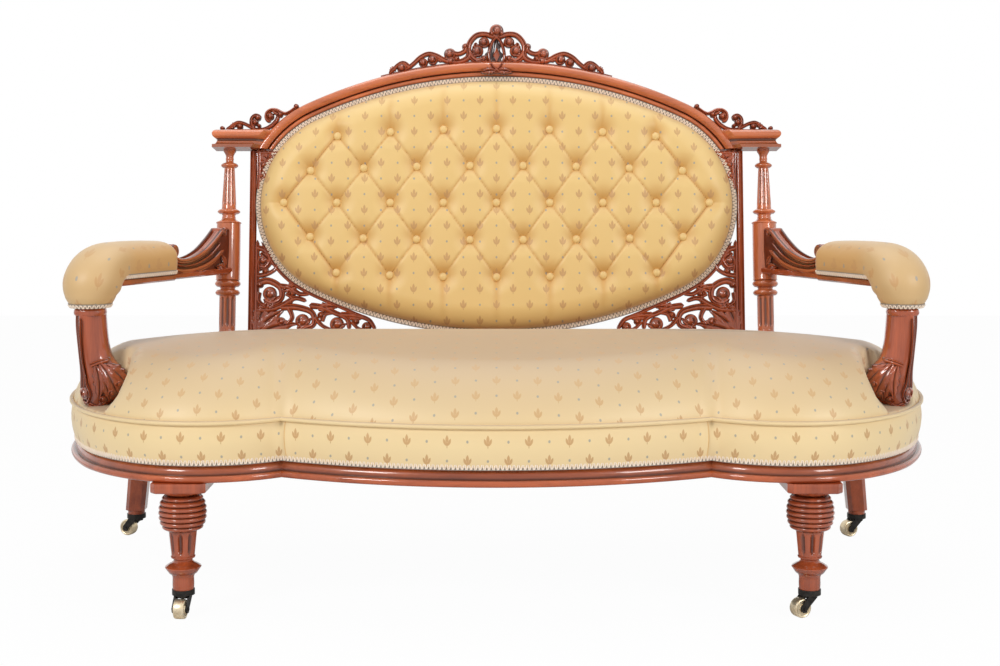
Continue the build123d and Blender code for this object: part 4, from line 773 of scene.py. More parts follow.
def lay_cloth(piece, pattern, other=None, first_faces=0, round_length=None):
    """Cloth coordinates for each corner; the first faces may take another set, and a tube may wrap."""
    layer = piece.data.uv_layers.new(name="cloth")
    corners = np.zeros(len(piece.data.loops), np.int64)
    piece.data.loops.foreach_get("vertex_index", corners)
    chosen = np.asarray(pattern, float)[corners]
    if other is not None:
        starts = np.zeros(len(piece.data.polygons), np.int64)
        piece.data.polygons.foreach_get("loop_start", starts)
        chosen[: starts[first_faces]] = np.asarray(other, float)[corners[: starts[first_faces]]]
    if round_length:
        for face in piece.data.polygons:
            row = chosen[face.loop_start : face.loop_start + face.loop_total, 0]
            if len(row) == 4 and np.ptp(row) > round_length / 2:
                row[row < row.max() - round_length / 2] += round_length
    layer.data.foreach_set("uv", (chosen * MM).astype(np.float32).ravel())


COVER_INSET = 3
cover_line = seat_line(COVER_INSET, tail=1)
around = lengths_along(cover_line)
middle_length = around[np.argmin(np.abs(cover_line[:, 0]) + cover_line[:, 1])]
boxing_cloth = np.column_stack([np.tile(around - middle_length, len(rings)), ring_z.ravel() - RIM_HIGH])
from_top = rings[::-1]
steps = np.linalg.norm(np.diff(from_top, axis=0), axis=2)
slope_length = np.concatenate([np.zeros((1, rings.shape[1])), np.cumsum(steps, axis=0)])[::-1]
ray = units(rings[0][:, :2] - rings[-1][:, :2])
dome_cloth = (rings[-1][None, :, :2] + ray[None] * slope_length[:, :, None]).reshape(-1, 2)
lay_cloth(seat_pad, dome_cloth, boxing_cloth, (BOXING_ROWS - 1) * rings.shape[1])
print("cover round the seat:", round(around[-1] * MM, 2), "m")

# %% [markdown]
# ## Cords and braids
#
# A piping cord is a string wrapped in a strip of the cover and sewn into the seam. The braid is a
# gimp: a narrow tape with one crimped cord that swings from edge to edge of it, and it hides the
# tacks. The tape is painted dark as the shade under the cord. Both are laid along a line of places,
# each with a direction across the tape and a direction out of the cover.


# %% Tubes and braids along a line
def spaced(line, sides, outs, step):
    """Line and its two directions, taken again at even steps."""
    length = lengths_along(line)
    wanted = np.linspace(0, length[-1], max(3, int(round(length[-1] / step)) + 1))
    return [np.column_stack([np.interp(wanted, length, item[:, axis]) for axis in range(3)])
            for item in (line, sides, outs)] + [wanted]


def tube(line, sides, outs, radius, count):
    """Round tube along a line."""
    return skin([[place + (side * math.cos(t) + out * math.sin(t)) * radius for t in full_turn(count)]
                 for place, side, out in zip(line, sides, outs)])


def strap(line, sides, outs, width, low, high):
    """Flat strap along a line, between a low face and a high one."""
    corners = ((-0.5, low), (0.5, low), (0.5, high), (-0.5, high))
    return skin([[place + side * share * width + out * rise for share, rise in corners]
                 for place, side, out in zip(line, sides, outs)])


BRAID_PITCH, BRAID_CORD, CORD_LEVEL = 8.0, 1.45, 1.9
# The tape's depth of recess paints it dark: painted shade under the crimped cord.
TAPE_LOW, TAPE_HIGH, TAPE_SHADE = 0.2, 1.1, 0.8


def braid(line, sides, outs, width):
    """Gimp: a flat tape with a crimped cord that runs from edge to edge of it."""
    place, side, out, along = spaced(line, sides, outs, BRAID_PITCH / 8)
    points, faces = strap(place[::4], side[::4], out[::4], width, TAPE_LOW, TAPE_HIGH)
    shape = Shape().add(points, faces, np.full(len(points), TAPE_SHADE))
    swing = np.clip(1.25 * np.sin(2 * math.pi * along / BRAID_PITCH), -1, 1)[:, None]
    crimped = place + side * swing * (width / 2 - BRAID_CORD) + out * CORD_LEVEL
    return shape.add(*tube(crimped, np.cross(side, out), out, BRAID_CORD, 6))


def outward_of(line):
    """Level direction out of the seat at each point of its edge."""
    ahead = units(np.gradient(line, axis=0))
    return np.column_stack([ahead[:, 1], -ahead[:, 0], np.zeros(len(line))])


PIPING_INSET, PIPING_RADIUS, PIPING_SIDES = 2, 4.2, 10
PIPING_DIP, DIP_X, DIP_WIDTH, DIP_DEPTH = 5, 868, 30, 60
SEAM_POINTS, SEAM_SIDES, SEAM_RADIUS, SEAM_SHIFT = 14, 6, 1.2, 0.012
BRAID_INSET, BRAID_UP, BRAID_WIDTH = 9.5, 6.5, 13
edge = seat_line(PIPING_INSET, 24)
dip = np.exp(-((np.abs(edge[:, 0]) - DIP_X) / DIP_WIDTH) ** 2 - ((edge[:, 1] - FOOT_Y) / DIP_DEPTH) ** 2)
cord_line = at_height(edge, PIPING_HEIGHT - PIPING_DIP * dip)
cord = tube(cord_line, all_along(edge, UP), outward_of(edge), PIPING_RADIUS, PIPING_SIDES)
piping_cord = make_piece("seat_piping_cord", Shape().add(*cord), satin_seat, ["seat_piping"])
cord_cloth = np.repeat(lengths_along(cord_line), PIPING_SIDES)
lay_cloth(piping_cord, np.column_stack([cord_cloth, np.ones(len(cord_cloth))]))
seams = Shape()
seam_turn = math.asin(-break_point(BOXING_HEAD)[0] / (BOW_RADIUS - BOXING_HEAD)) - SEAM_SHIFT
insets, heights = boxing_place(np.linspace(0.1, 0.97, SEAM_POINTS))
for side in (-1, 1):
    out = np.array([side * math.sin(seam_turn), -math.cos(seam_turn), 0])
    seam_line = at_height(out[:2] * (BOW_RADIUS - insets - 0.4)[:, None] + bow_centre, heights)
    sides = all_along(seam_line, (math.cos(seam_turn), side * math.sin(seam_turn), 0.0))
    points, faces = tube(seam_line, sides, all_along(seam_line, out), SEAM_RADIUS, SEAM_SIDES)
    seams.add(points, faces, np.full(len(points), 0.6))
seam_piece = make_piece("boxing_seams", seams, satin_seat)
lay_cloth(seam_piece, np.full((len(seams.points), 2), 16.0))
edge = seat_line(BRAID_INSET, 24)
gimp = braid(at_height(edge, RIM_HIGH + BRAID_UP), all_along(edge, UP), outward_of(edge), BRAID_WIDTH)
make_piece("seat_braid", gimp, braid_finish, ["seat_gimp"])
print("piping:", round(lengths_along(cord_line)[-1] * MM, 2), "m")
print("seat braid:", round(lengths_along(edge)[-1] * MM, 2), "m")

# %% [markdown]
# ## The buttoned back
#
# The back is an oval cushion pulled down by thirty-nine covered buttons in five staggered rows. The
# cover is bigger than the oval: the spare cloth is tucked into pleats that run from button to button
# in diamonds, and from the outer buttons straight to the edge. The depth of the surface is a formula:
# a domed edge, a cone at each button and a crease along each pleat.

# %% Oval setting-out
OVAL_WIDE, OVAL_TALL, OVAL_MIDDLE, OVAL_END = 539, 291, 297, 220
end_reach = OVAL_WIDE - OVAL_END
main_radius = (end_reach**2 + OVAL_TALL**2 - OVAL_END**2) / (2 * (OVAL_TALL - OVAL_END))
main_drop = main_radius - OVAL_TALL
lean = math.atan2(end_reach, main_drop)


def oval_point(turn, grow):
    """Point of the oval whose outward direction is turned from upright, and that direction."""
    turn = (turn + math.pi) % (2 * math.pi) - math.pi
    out = np.array([math.sin(turn), math.cos(turn)])
    if abs(turn) <= lean:
        centre, radius = (0, -main_drop), main_radius
    elif abs(turn) >= math.pi - lean:
        centre, radius = (0, main_drop), main_radius
    else:
        centre, radius = (math.copysign(end_reach, turn), 0), OVAL_END
    return np.array(centre) + (0, OVAL_MIDDLE) + out * (radius + grow), out


def oval_turns(count):
    """Directions that space points about evenly round the oval, clockwise from the left of the top arc."""
    arcs = ((-lean, lean, 2), (lean, math.pi - lean, 1), (math.pi - lean, math.pi + lean, 2),
            (math.pi + lean, 2 * math.pi - lean, 1))
    return np.concatenate([np.linspace(low, high, count * share, endpoint=False)
                           for low, high, share in arcs])


def oval_line(grow, count=40):
    """Points round the oval and their outward directions."""
    pairs = [oval_point(turn, grow) for turn in oval_turns(count)]
    return np.array([pair[0] for pair in pairs]), np.array([pair[1] for pair in pairs])


print("oval:", 2 * OVAL_WIDE, "by", 2 * OVAL_TALL, "mm")

# %% Tufted pad
BUTTON_ROWS, BUTTON_PITCH, BUTTON_ROW_PITCH = [7, 8, 9, 8, 7], 118, 83
PAD_INSET, PAD_BASE, PAD_DEPTH, PAD_EDGE, TUFT_DEPTH = 11, 6.3, 47, 52, 17
TOP_BOW, LOW_BOW, ROW_END = 17, 10, 3 * BUTTON_PITCH
CONE_FLAT, CONE_REACH, AMBER_SHADE_REACH, FOLD_EDGE = 9, 38, 36, 25
CONE_SHARE, SLOPE_SHARE, PLEAT_SHARE = 0.56, 0.10, 0.22


def bowed(x, up):
    """How far the outer rows of buttons bend towards the middle at their ends."""
    return -np.where(up > 0, TOP_BOW, LOW_BOW) * (x / ROW_END) ** 2 * up / (2 * BUTTON_ROW_PITCH)


grid = np.array([((index - (count - 1) / 2) * BUTTON_PITCH, (2 - row) * BUTTON_ROW_PITCH)
                 for row, count in enumerate(BUTTON_ROWS) for index in range(count)], float)
buttons = np.column_stack([grid[:, 0], grid[:, 1] + bowed(grid[:, 0], grid[:, 1])])


def crease(distance, width):
    """Fullness of the cloth at a distance from a pleat, 0 in it and 1 well away."""
    return 1 - np.exp(-((distance / width) ** 2))


def from_button(x, up, lift, stretch):
    """Distance from the nearest button, or from a place above it, stretched upward."""
    rise = (up[:, None] - buttons[:, 1] - lift) * stretch
    return np.min(np.hypot(x[:, None] - buttons[:, 0], rise), axis=1)


def tufting(x, up):
    """How far the cover is drawn down at points of the back, and how much painted shade they take."""
    row = up - bowed(x, up)
    p, q = np.abs(x) / BUTTON_PITCH, np.abs(row) / BUTTON_ROW_PITCH
    diamonds = np.abs(np.sin(math.pi * (p + q / 2)) * np.sin(math.pi * (p - q / 2)))
    straight = np.sin(math.pi * p) ** 2 + np.clip((q - 2) * 0.07, 0, 1)
    past = np.maximum(p + q / 2 - 4, 0) * BUTTON_PITCH * 0.8
    spread = np.minimum(crease(row, 10), crease((p - q / 2 - 3) * BUTTON_PITCH * 0.8, 10))
    outer = np.minimum(crease(past, 24), spread + past / 160)
    full = np.clip(np.where(q > 2, straight, np.where(p + q / 2 > 4, outer, diamonds)), 0, 1)
    cone = np.clip(1 - np.maximum(from_button(x, up, 0, 1.1) - CONE_FLAT, 0) / CONE_REACH, 0, 1) ** 2
    drawn = CONE_SHARE * cone + SLOPE_SHARE * (1 - np.sqrt(full)) + PLEAT_SHARE * np.exp(-full / 0.05)
    # Painted shade: an amber fan above each button, and dark lines in the creases of the pleats.
    amber_shade = np.clip(1 - from_button(x, up, 10, 0.8) / AMBER_SHADE_REACH, 0, 1) ** 1.3
    return np.clip(drawn, 0, 1), np.clip(np.maximum(0.8 * amber_shade, np.exp(-full / 0.045)), 0, 1)


def pad_grid(wide, tall):
    """Even net of points over the oval, made from a square net."""
    a, b = np.meshgrid(np.linspace(-1, 1, wide), np.linspace(-1, 1, tall))
    x, up = a * np.sqrt(1 - b**2 / 2), b * np.sqrt(1 - a**2 / 2)
    edge = oval_line(-PAD_INSET, 120)[0] - (0, OVAL_MIDDLE)
    angle = np.arctan2(edge[:, 1], edge[:, 0])
    order = np.argsort(angle)
    turn = np.arctan2(up * (OVAL_TALL - PAD_INSET), x * (OVAL_WIDE - PAD_INSET))
    oval_reach = np.interp(turn, angle[order], np.hypot(*edge.T)[order], period=2 * math.pi)
    reach = np.hypot(x, up)
    return reach * oval_reach * np.cos(turn), reach * oval_reach * np.sin(turn)


NET_WIDE, NET_TALL = 341, 193
x, up = pad_grid(NET_WIDE, NET_TALL)
flat = np.column_stack([x.ravel(), up.ravel()])
level, rise = np.abs(flat).T
from_end = OVAL_END - np.hypot(level - end_reach, rise)
from_main = main_radius - np.hypot(level, rise + main_drop)
inside_edge = np.where(np.arctan2(level, rise + main_drop) > lean, from_end, from_main) - PAD_INSET
inside_edge = np.maximum(inside_edge, 0)
drawn, fold_shade = tufting(flat[:, 0], flat[:, 1])
surface = PAD_BASE + quarter_round(inside_edge / PAD_EDGE) * (PAD_DEPTH - TUFT_DEPTH * drawn)
points = np.column_stack([flat[:, 0], flat[:, 1] + OVAL_MIDDLE, surface])
net, faces = skin(points.reshape(NET_TALL, NET_WIDE, 3), loop=False)
rim = np.concatenate([np.arange(NET_WIDE), np.arange(1, NET_TALL) * NET_WIDE + NET_WIDE - 1,
                      (NET_TALL - 1) * NET_WIDE + np.arange(NET_WIDE - 2, -1, -1),
                      np.arange(NET_TALL - 2, 0, -1) * NET_WIDE])
# The painted shade fades out near the pad's edge.
fold_shade = fold_shade * np.clip(inside_edge / FOLD_EDGE, 0, 1)
pad = Shape().add(on_back(net), faces + [tuple(rim.tolist())], fold_shade)
back_pad = make_piece("tufted_back", pad, satin_back, ["back_pad"], smooth=math.radians(70))
lay_cloth(back_pad, flat)
print("pad net:", NET_WIDE, "x", NET_TALL)

# %% Covered buttons and the braid round the oval
BUTTON_RINGS = ((8.4, -3), (9.2, 0.5), (8.7, 2.8), (6.8, 4.6), (3.9, 5.6), (0.8, 5.9))
OVAL_BRAID_INSET, OVAL_BRAID_LEVEL, OVAL_BRAID_WIDTH = 6.2, 8.0, 12
button_depth = PAD_BASE + PAD_DEPTH - 0.8 * TUFT_DEPTH
turns = full_turn(14)
circle = np.column_stack([np.cos(turns), np.sin(turns)])
domes = Shape()
for button in buttons + (0, OVAL_MIDDLE):
    dome = [at_height(button + circle * radius, button_depth + out) for radius, out in BUTTON_RINGS]
    points, faces = skin(dome)
    domes.add(on_back(points), faces)
covered = make_piece("covered_buttons", domes, satin_back, ["back_buttons"], smooth=math.radians(60))
lay_cloth(covered, np.full((len(domes.points), 2), 14.0) + np.asarray(domes.points)[:, [0, 2]] * 0.02)

line, outs = [np.vstack([rows, rows[:1]]) for rows in oval_line(-OVAL_BRAID_INSET, 60)]
line = at_height(line, OVAL_BRAID_LEVEL)
gimp = braid(line, at_height(outs, 0.0), all_along(line, UP), OVAL_BRAID_WIDTH)
make_piece("oval_braid", gimp.moved(on_back), braid_finish, ["back_gimp"])
print("buttons:", len(buttons))

# %% [markdown]
# ## Turned legs and columns
#
# The legs and the columns come off a lathe. A turner cuts beads, coves and rings between straight
# lengths, then carves flutes along the shaft while the work is held still. Here each turning is a list
# of heights and radii, with a rounding between one step and the next, and the flutes are pressed into
# the rings of the mesh.

# %% Lathe
TURN_COUNT, BULGE_COUNT = 96, 7


def profile_of(steps):
    """Heights and radii along a turning; each step has a height, a radius and a bulge to the next."""
    heights, radii = [], []
    for (low, first, bulge), (high, second, _) in zip(steps[:-1], steps[1:]):
        share = np.linspace(0, 1, BULGE_COUNT if bulge else 2, endpoint=False)
        heights += list(low + (high - low) * share)
        radii += list(first + (second - first) * share + bulge * np.sin(math.pi * share))
    heights.append(steps[-1][0])
    radii.append(steps[-1][1])
    return np.array(heights), np.array(radii)


def lathe(heights, radii, cut=None, count=TURN_COUNT):
    """Turning about an upright axis; the cut gives a depth for heights and angles."""
    angles = full_turn(count)
    depth = np.zeros((len(heights), count)) if cut is None else cut(heights[:, None], angles[None, :])
    radius = radii[:, None] - depth
    level = np.repeat(heights[:, None], count, 1)
    points, faces = skin(np.stack([radius * np.cos(angles), radius * np.sin(angles), level], axis=2))
    # Painted shade: flutes and coves get a depth of recess, so the finish darkens them.
    hollow = np.clip(depth / max(depth.max(), 1e-6), 0, 1)
    waist = np.clip(np.gradient(np.gradient(radii)) / 4, 0, 0.8)[:, None]
    return points, faces, np.maximum(hollow * 0.85, np.repeat(waist, count, 1)).ravel()


def flutes(count, depth, share, low, high, ends):
    """Cut of narrow round-ended flutes between two heights."""
    def cut(height, angle):
        pitch = np.abs((angle * count / (2 * math.pi) + 0.5) % 1 - 0.5) / (share / 2)
        edge = np.clip(np.minimum(height - low, high - height) / ends, 0, 1)
        room = np.clip(1 - (1 - edge) ** 2, 0, 1)
        return depth * np.sqrt(np.clip(room**2 - pitch**2, 0, 1))
    return cut


# %% Front legs
LEG_X, LEG_Y = 575, 86
BALL_LOW, BALL_HIGH, BALL_END, BALL_RADIUS, BALL_RIDGES, RIDGE_DEPTH = 160, 226, 29, 44, 7, 4.5
TAPER_LOW, TAPER_HIGH, TAPER_FOOT, TAPER_HEAD = 113.5, 159, 20.9, 25.5
share = np.linspace(0, 1, 12 * BALL_RIDGES + 1)
groove = 1 - np.abs(np.sin(math.pi * BALL_RIDGES * share)) ** 0.7
ball_heights = BALL_LOW + (BALL_HIGH - BALL_LOW) * share
ball_radii = BALL_END + (BALL_RADIUS - BALL_END) * np.sqrt(1 - (2 * share - 1) ** 2) - RIDGE_DEPTH * groove
foot_heights, foot_radii = profile_of([
    (44, 18.2, 0), (46, 18.7, 0.6), (70, 19.4, -1.2), (80, 23, 0), (81, 25.5, 0), (91.5, 33, 0),
    (93, 32.6, 0), (97, 26.5, -1.5), (104, 17, -0.4), (108, 18.5, 0), (109, 21.5, 0), (112, 22.4, 0),
    (113, 20.8, 0),
])
taper_heights = np.linspace(TAPER_LOW, TAPER_HIGH, 40)
taper_radii = np.linspace(TAPER_FOOT, TAPER_HEAD, 40)
heights = np.concatenate([foot_heights, taper_heights, ball_heights, [227, 231, 235]])
radii = np.concatenate([foot_radii, taper_radii, ball_radii, [33, 38, 41]])
points, faces, hollow = lathe(heights, radii, flutes(8, 4.6, 0.42, 114, TAPER_HIGH, 12))
# Painted shade in the grooves between the ball's ridges.
ridge_hollow = np.interp(heights, ball_heights, groove**1.5, left=0, right=0)
leg = Shape().add(points, faces, np.maximum(hollow, np.repeat(ridge_hollow, TURN_COUNT)))


def octagon(half, corner):
    """Square outline with its corners cut off."""
    inner = half - corner
    return [(half, -inner), (half, inner), (inner, half), (-inner, half), (-half, inner), (-half, -inner),
            (-inner, -half), (inner, -half)]


BLOCK_RINGS = ((47.5, 8, 235), (49.5, 8.8, 236.5), (50, 9, 238), (50, 9, 252), (49.5, 9, 253))
leg.add(*skin([at_height(octagon(half, corner), height) for half, corner, height in BLOCK_RINGS]))
make_pair("turned_leg", leg.moved(lambda points: points + (-LEG_X, LEG_Y, 0)), walnut, "front_leg")
print("leg rings:", len(heights))

# %% Columns
COLUMN_X, POST_HALF, POST_TOP, FRAME_TOP = 600, 25, 6, 340
low_heights, low_radii = profile_of([(6, 24, 0), (8, 24.5, -2.5), (19, 18, 0)])
foot_shaft = np.linspace(19.5, 92, 40)
ring_heights, ring_radii = profile_of([
    (93, 18.5, 0), (94, 23.5, 3.8), (105.5, 23.5, 0), (106, 18, -1.5), (112, 18, 0), (113, 24, 4.5),
    (127, 24, 0), (128, 27.2, 0), (130, 26.5, 0.3), (254, 26.5, 0), (255, 27.5, 1), (258, 27, -4),
    (269, 15.5, -1.2), (276, 16, 0), (277, 21, 4.4), (286, 21, 0), (287, 16.5, 0), (291, 16, 0),
])
top_shaft = np.linspace(292, 379, 44)
cap_heights, cap_radii = profile_of([
    (380, 11.5, 0), (381, 15, 4.4), (391, 15, 0), (392, 10, -1), (400, 9.3, -2.2), (416, 13, 0),
    (417, 14, 0), (421, 14, 0),
])
heights = np.concatenate([low_heights, foot_shaft, ring_heights, top_shaft, cap_heights])
radii = np.concatenate([low_radii, np.full(40, 18.0), ring_radii, np.linspace(15.8, 11.4, 44), cap_radii])
lower, upper = flutes(9, 3.0, 0.55, 21, 92, 9), flutes(9, 2.4, 0.55, 293, 379, 9)
points, faces, hollow = lathe(heights, radii, lambda *spot: lower(*spot) + upper(*spot))
column = Shape().add(points[:, [0, 2, 1]] * (1, 1, -1) + (-COLUMN_X, 0, 0), faces, hollow)


def post_ring(height, scale):
    """Square ring of the column's post at a height up the back, or level with the frame's top."""
    ring = []
    for x, forward in CORNERS:
        spot = forward * POST_HALF
        level = (FRAME_TOP - BACK_LINE_Z - spot * math.sin(BACK_LEAN)) / math.cos(BACK_LEAN)
        ring.append((x * POST_HALF * scale - COLUMN_X, level if height is None else height, spot * scale))
    return ring


column.add(*skin([post_ring(None, 1), post_ring(POST_TOP - 3, 1), post_ring(POST_TOP, 0.92)]))
make_pair("turned_column", column.moved(on_back), walnut_with_painted_light, "column")
print("column rings:", len(heights))

# %% [markdown]
# ## Mouldings of the back
#
# An arch of moulded walnut runs over the oval and meets two short shelves at a mitre. The moulding is
# a broad round, a quirk and a smaller round beside the braid. It is drawn as one section and carried
# along the oval, and the shelf's section is carried along the front and returned round the outer end.

# %% Arch over the oval
ARCH_WIDTH, ARCH_BACK, ARCH_COUNT, MITRE_UP = 31, -14, 90, 421
arch_section = [(ARCH_WIDTH, ARCH_BACK), (ARCH_WIDTH, 14)]
arch_section += rounded((21, 16), (10, 14), 0.1, math.pi - 0.25, 12)
arch_section += [(10.6, 15), (9.6, 10.5)]
arch_section += rounded((5.2, 10.5), (4.4, 5), 0.2, math.pi - 0.4, 7)
arch_section += [(0.4, 8.5), (0, 6), (0, ARCH_BACK)]
# Painted shade: dark in the quirk, and lighter at the inner edge beside the braid.
arch_shade = [1.0 if 9 < reach < 11 and out < 16 else 0.25 if reach < 1.5 else 0
              for reach, out in arch_section]
rows = []
for reach, out in arch_section:
    end = math.acos((MITRE_UP - OVAL_MIDDLE) / (OVAL_END + reach))
    rows.append([(*oval_point(turn, reach)[0], out) for turn in np.linspace(-end, end, ARCH_COUNT)])
arch = Shape().add(*skin(np.swapaxes(rows, 0, 1)), recess=np.tile(arch_shade, ARCH_COUNT))
make_piece("moulded_arch", arch.moved(on_back), walnut_rail_with_painted_light, ["back_arch"])
print("arch section:", len(arch_section), "points")

# %% Shelves
SHELF_TOP, SHELF_LOW, SHELF_BACK, SHELF_CORNER, MITRE_DEPTH = 463, 421, -14, 586, 24
shelf_section = [(SHELF_BACK, SHELF_TOP), (30, SHELF_TOP)]
shelf_section += rounded((33, SHELF_TOP - 11.5), (14, 11), 1.35, -1.3, 12)
shelf_section += [(36.5, SHELF_TOP - 23), (36, SHELF_TOP - 25)]
shelf_section += rounded((46, SHELF_TOP - 26), (-9, -9), 0, math.pi / 2, 6)
shelf_section += [(46.5, SHELF_TOP - 36.5), (46.5, SHELF_LOW), (SHELF_BACK, SHELF_LOW)]
# Painted shade in the shelf's groove, and lighter shade on its lower face.
shelf_shade = [0.9 if SHELF_TOP - 26.5 < up < SHELF_TOP - 22 else 0.4 if up < SHELF_TOP - 30 else 0
               for _, up in shelf_section]
rows = []
for out, up in shelf_section:
    turn = math.acos((up - OVAL_MIDDLE) / (OVAL_END + ARCH_WIDTH))
    inner = end_reach + (OVAL_END + ARCH_WIDTH) * math.sin(turn)
    rows.append([(12 - inner, up, min(out, MITRE_DEPTH)), (-inner - 8, up, out),
                 (-SHELF_CORNER - out, up, out), (-SHELF_CORNER - out, up, SHELF_BACK)])
shelf = Shape().add(*skin(np.swapaxes(rows, 0, 1)), recess=np.tile(shelf_shade, 4))
make_pair("moulded_shelf", shelf.moved(on_back), walnut_rail_with_painted_light, "back_shelf")
print("shelf section:", len(shelf_section), "points")


# %% Stiles and bottom rail
def bar(low, high, ease):
    """Straight bar between two corners, with its long edges eased; its length is its longest side."""
    low, high = np.array(low, float), np.array(high, float)
    middle, half = (low + high) / 2, (high - low) / 2
    long = int(np.argmax(half))
    first, second = [axis for axis in range(3) if axis != long]
    rings = []
    for end, inset in ((-1, ease), (-1, 0), (1, 0), (1, ease)):
        ring = []
        for a, b in octagon(1, 0):
            spot = middle.copy()
            spot[long] += end * (half[long] - (ease if inset == 0 else 0))
            spot[first] += a * (half[first] - inset)
            spot[second] += b * (half[second] - inset)
            ring.append(spot)
        corner = np.array(ring)
        towards = middle - corner
        for axis, offset in ((first, 0), (second, 1)):
            cut = np.array([index % 2 == offset for index in range(8)])
            corner[cut, axis] += np.sign(towards[cut, axis]) * ease
        rings.append(corner)
    return skin(rings)


stile = Shape().add(*bar((-553, 5, -14), (-539.3, 421, 8), 2.5))
stile.add(*bar((-549, 6, 4), (-543.5, 420, 11), 1.8))
make_pair("oval_stile", stile.moved(on_back), walnut, "back_stile")
rail = Shape().add(*bar((-575, -45, -14), (575, 5, 10), 3))
make_piece("back_bottom_rail_wood", rail.moved(on_back), walnut_rail, ["back_bottom_rail"])
print("stile points:", len(stile.points))

# %% [markdown]
# ## Carving
#
# The crest, the two shelf scrolls and the frets are pierced boards, carved in the round on their face:
# limbs that swell and taper, eyes that curl up at their ends, and veined leaves. Each limb is a rounded
# band along a smooth curve with a quirk beside its middle, each eye a small dome with a spiral cut, and
# each leaf a blade with a vein. Their edges and cuts are darkened: painted shade, with some old polish
# that has gone dark in them.


# %% Limbs, eyes and leaves
def smooth_curve(points, count):
    """Even places along a smooth curve through the points."""
    points = np.asarray(points, float)
    knots = np.vstack([2 * points[0] - points[1], points, 2 * points[-1] - points[-2]])
    places = []
    for index in range(len(points) - 1):
        before, start, end, after = knots[index : index + 4]
        for t in np.linspace(0, 1, 12, endpoint=False):
            square = 2 * before - 5 * start + 4 * end - after
            cube = 3 * start - before - 3 * end + after
            places.append(0.5 * (2 * start + (end - before) * t + square * t**2 + cube * t**3))
    places = np.array(places + [points[-1]])
    length = lengths_along(places)
    wanted = np.linspace(0, length[-1], count)
    return np.column_stack([np.interp(wanted, length, places[:, axis]) for axis in (0, 1)])


LIMB_FACE = np.linspace(-1, 1, 11)
LIMB_POINTS, LIMB_END, QUIRK_SHARE, QUIRK_WIDTH, QUIRK_DEPTH = 34, 0.06, 0.25, 0.17, 0.26
CURL_RINGS = (
    (0.97, 0), (1, 0), (1, 0.55), (0.9, 0.85), (0.74, 1.0), (0.56, 0.98), (0.4, 1.12), (0.2, 1.25),
    (0.04, 1.3),
)
CURL_TURNS, CURL_CUT = 1.15, 0.28
LEAF_LOBES, LEAF_BEND, VEIN_WIDTH, VEIN_DEPTH, LOBE_DEPTH = 9, 0.064, 0.16, 0.3, 0.12


def limb(points, start_width, end_width, thick):
    """Rounded, quirked band along a curve."""
    spine = smooth_curve(points, LIMB_POINTS)
    ahead = units(np.gradient(spine, axis=0))
    across = np.column_stack([-ahead[:, 1], ahead[:, 0]])
    share = np.linspace(0, 1, LIMB_POINTS)
    ends = np.maximum(quarter_round(np.minimum(share, 1 - share) / LIMB_END), math.sqrt(0.02))
    half = (start_width + (end_width - start_width) * share) / 2 * ends
    quirk = np.exp(-(((LIMB_FACE - QUIRK_SHARE) / QUIRK_WIDTH) ** 2))
    face = 0.45 + 0.55 * np.sqrt(1 - LIMB_FACE**2) - QUIRK_DEPTH * quirk
    # Painted shade at the limb's edges and in its quirk.
    hollow = np.where(np.abs(LIMB_FACE) > 0.93, 0.95, 0.85 * quirk)
    rings = []
    for place, side in zip(spine, across * half[:, None]):
        top = [(*(place + side * s), thick * f) for s, f in zip(LIMB_FACE, face)]
        rings.append([(*(place - side), 0.0), *top, (*(place + side), 0.0), (*place, 0.0)])
    points, faces = skin(rings)
    return points, faces, np.tile([0.9, *hollow, 0.9, 0.1], len(rings))


def curl(x, up, radius, thick):
    """Dome with a spiral cut, at the end of a limb."""
    angles = full_turn(20)
    rings, hollow = [], []
    for share, height in CURL_RINGS:
        cut = np.clip(np.cos(angles - 2 * math.pi * share * CURL_TURNS), 0, 1) ** 2 * (0.3 < share < 0.95)
        reach = radius * share
        level = thick * (height - CURL_CUT * cut)
        rings.append(np.column_stack([x + reach * np.cos(angles), up + reach * np.sin(angles), level]))
        hollow += list(np.maximum(cut * 0.9, 0.9 if share == 1 else 0.7 if share == 0.56 else 0))
    points, faces = skin(rings)
    return points, faces, hollow


def blade(x, up, length, width, angle, thick):
    """Veined leaf from its stem, at an angle above the level."""
    turn = math.radians(angle)
    ahead, side = np.array([math.cos(turn), math.sin(turn)]), np.array([-math.sin(turn), math.cos(turn)])
    rings, hollow = [], []
    for t in np.linspace(0.02, 0.995, 22):
        phase = LEAF_LOBES * math.pi * t
        wide = width / 2 * math.sin(math.pi * t**0.75) * (1 + 0.16 * math.sin(phase)) + 0.4
        spine = np.array([x, up]) + ahead * length * t + side * LEAF_BEND * length * math.sin(math.pi * t)
        ring = [(*(spine - side * wide), 0.0)]
        hollow.append(0.9)
        for s in LIMB_FACE:
            vein = math.exp(-((s / VEIN_WIDTH) ** 2))
            wave = math.cos(phase - 2.5 * abs(s) * math.pi) * abs(s)
            swell = 0.55 + 0.4 * math.sqrt(1 - abs(s) ** 2.5) * (1 - 0.35 * t)
            ring.append((*(spine + side * wide * s), thick * (swell - VEIN_DEPTH * vein + LOBE_DEPTH * wave)))
            hollow.append(max(0.85 * vein, 0.95 if abs(s) > 0.95 else 0.6 * max(0, -wave)))
        rings.append(ring + [(*(spine + side * wide), 0.0), (*spine, 0.0)])
        hollow += [0.9, 0.1]
    points, faces = skin(rings)
    return points, faces, hollow


def carving(thick, limbs=(), curls=(), blades=(), bold=1.0):
    """Pierced carving from its limbs, curls and leaves, made bolder if asked."""
    shape = Shape()
    for points, start_width, end_width in limbs:
        shape.add(*limb(points, start_width * bold, end_width * bold, thick))
    for x, up, radius in curls:
        shape.add(*curl(x, up, radius * bold, thick))
    for x, up, length, width, angle in blades:
        shape.add(*blade(x, up, length, width * bold, angle, thick))
    return shape


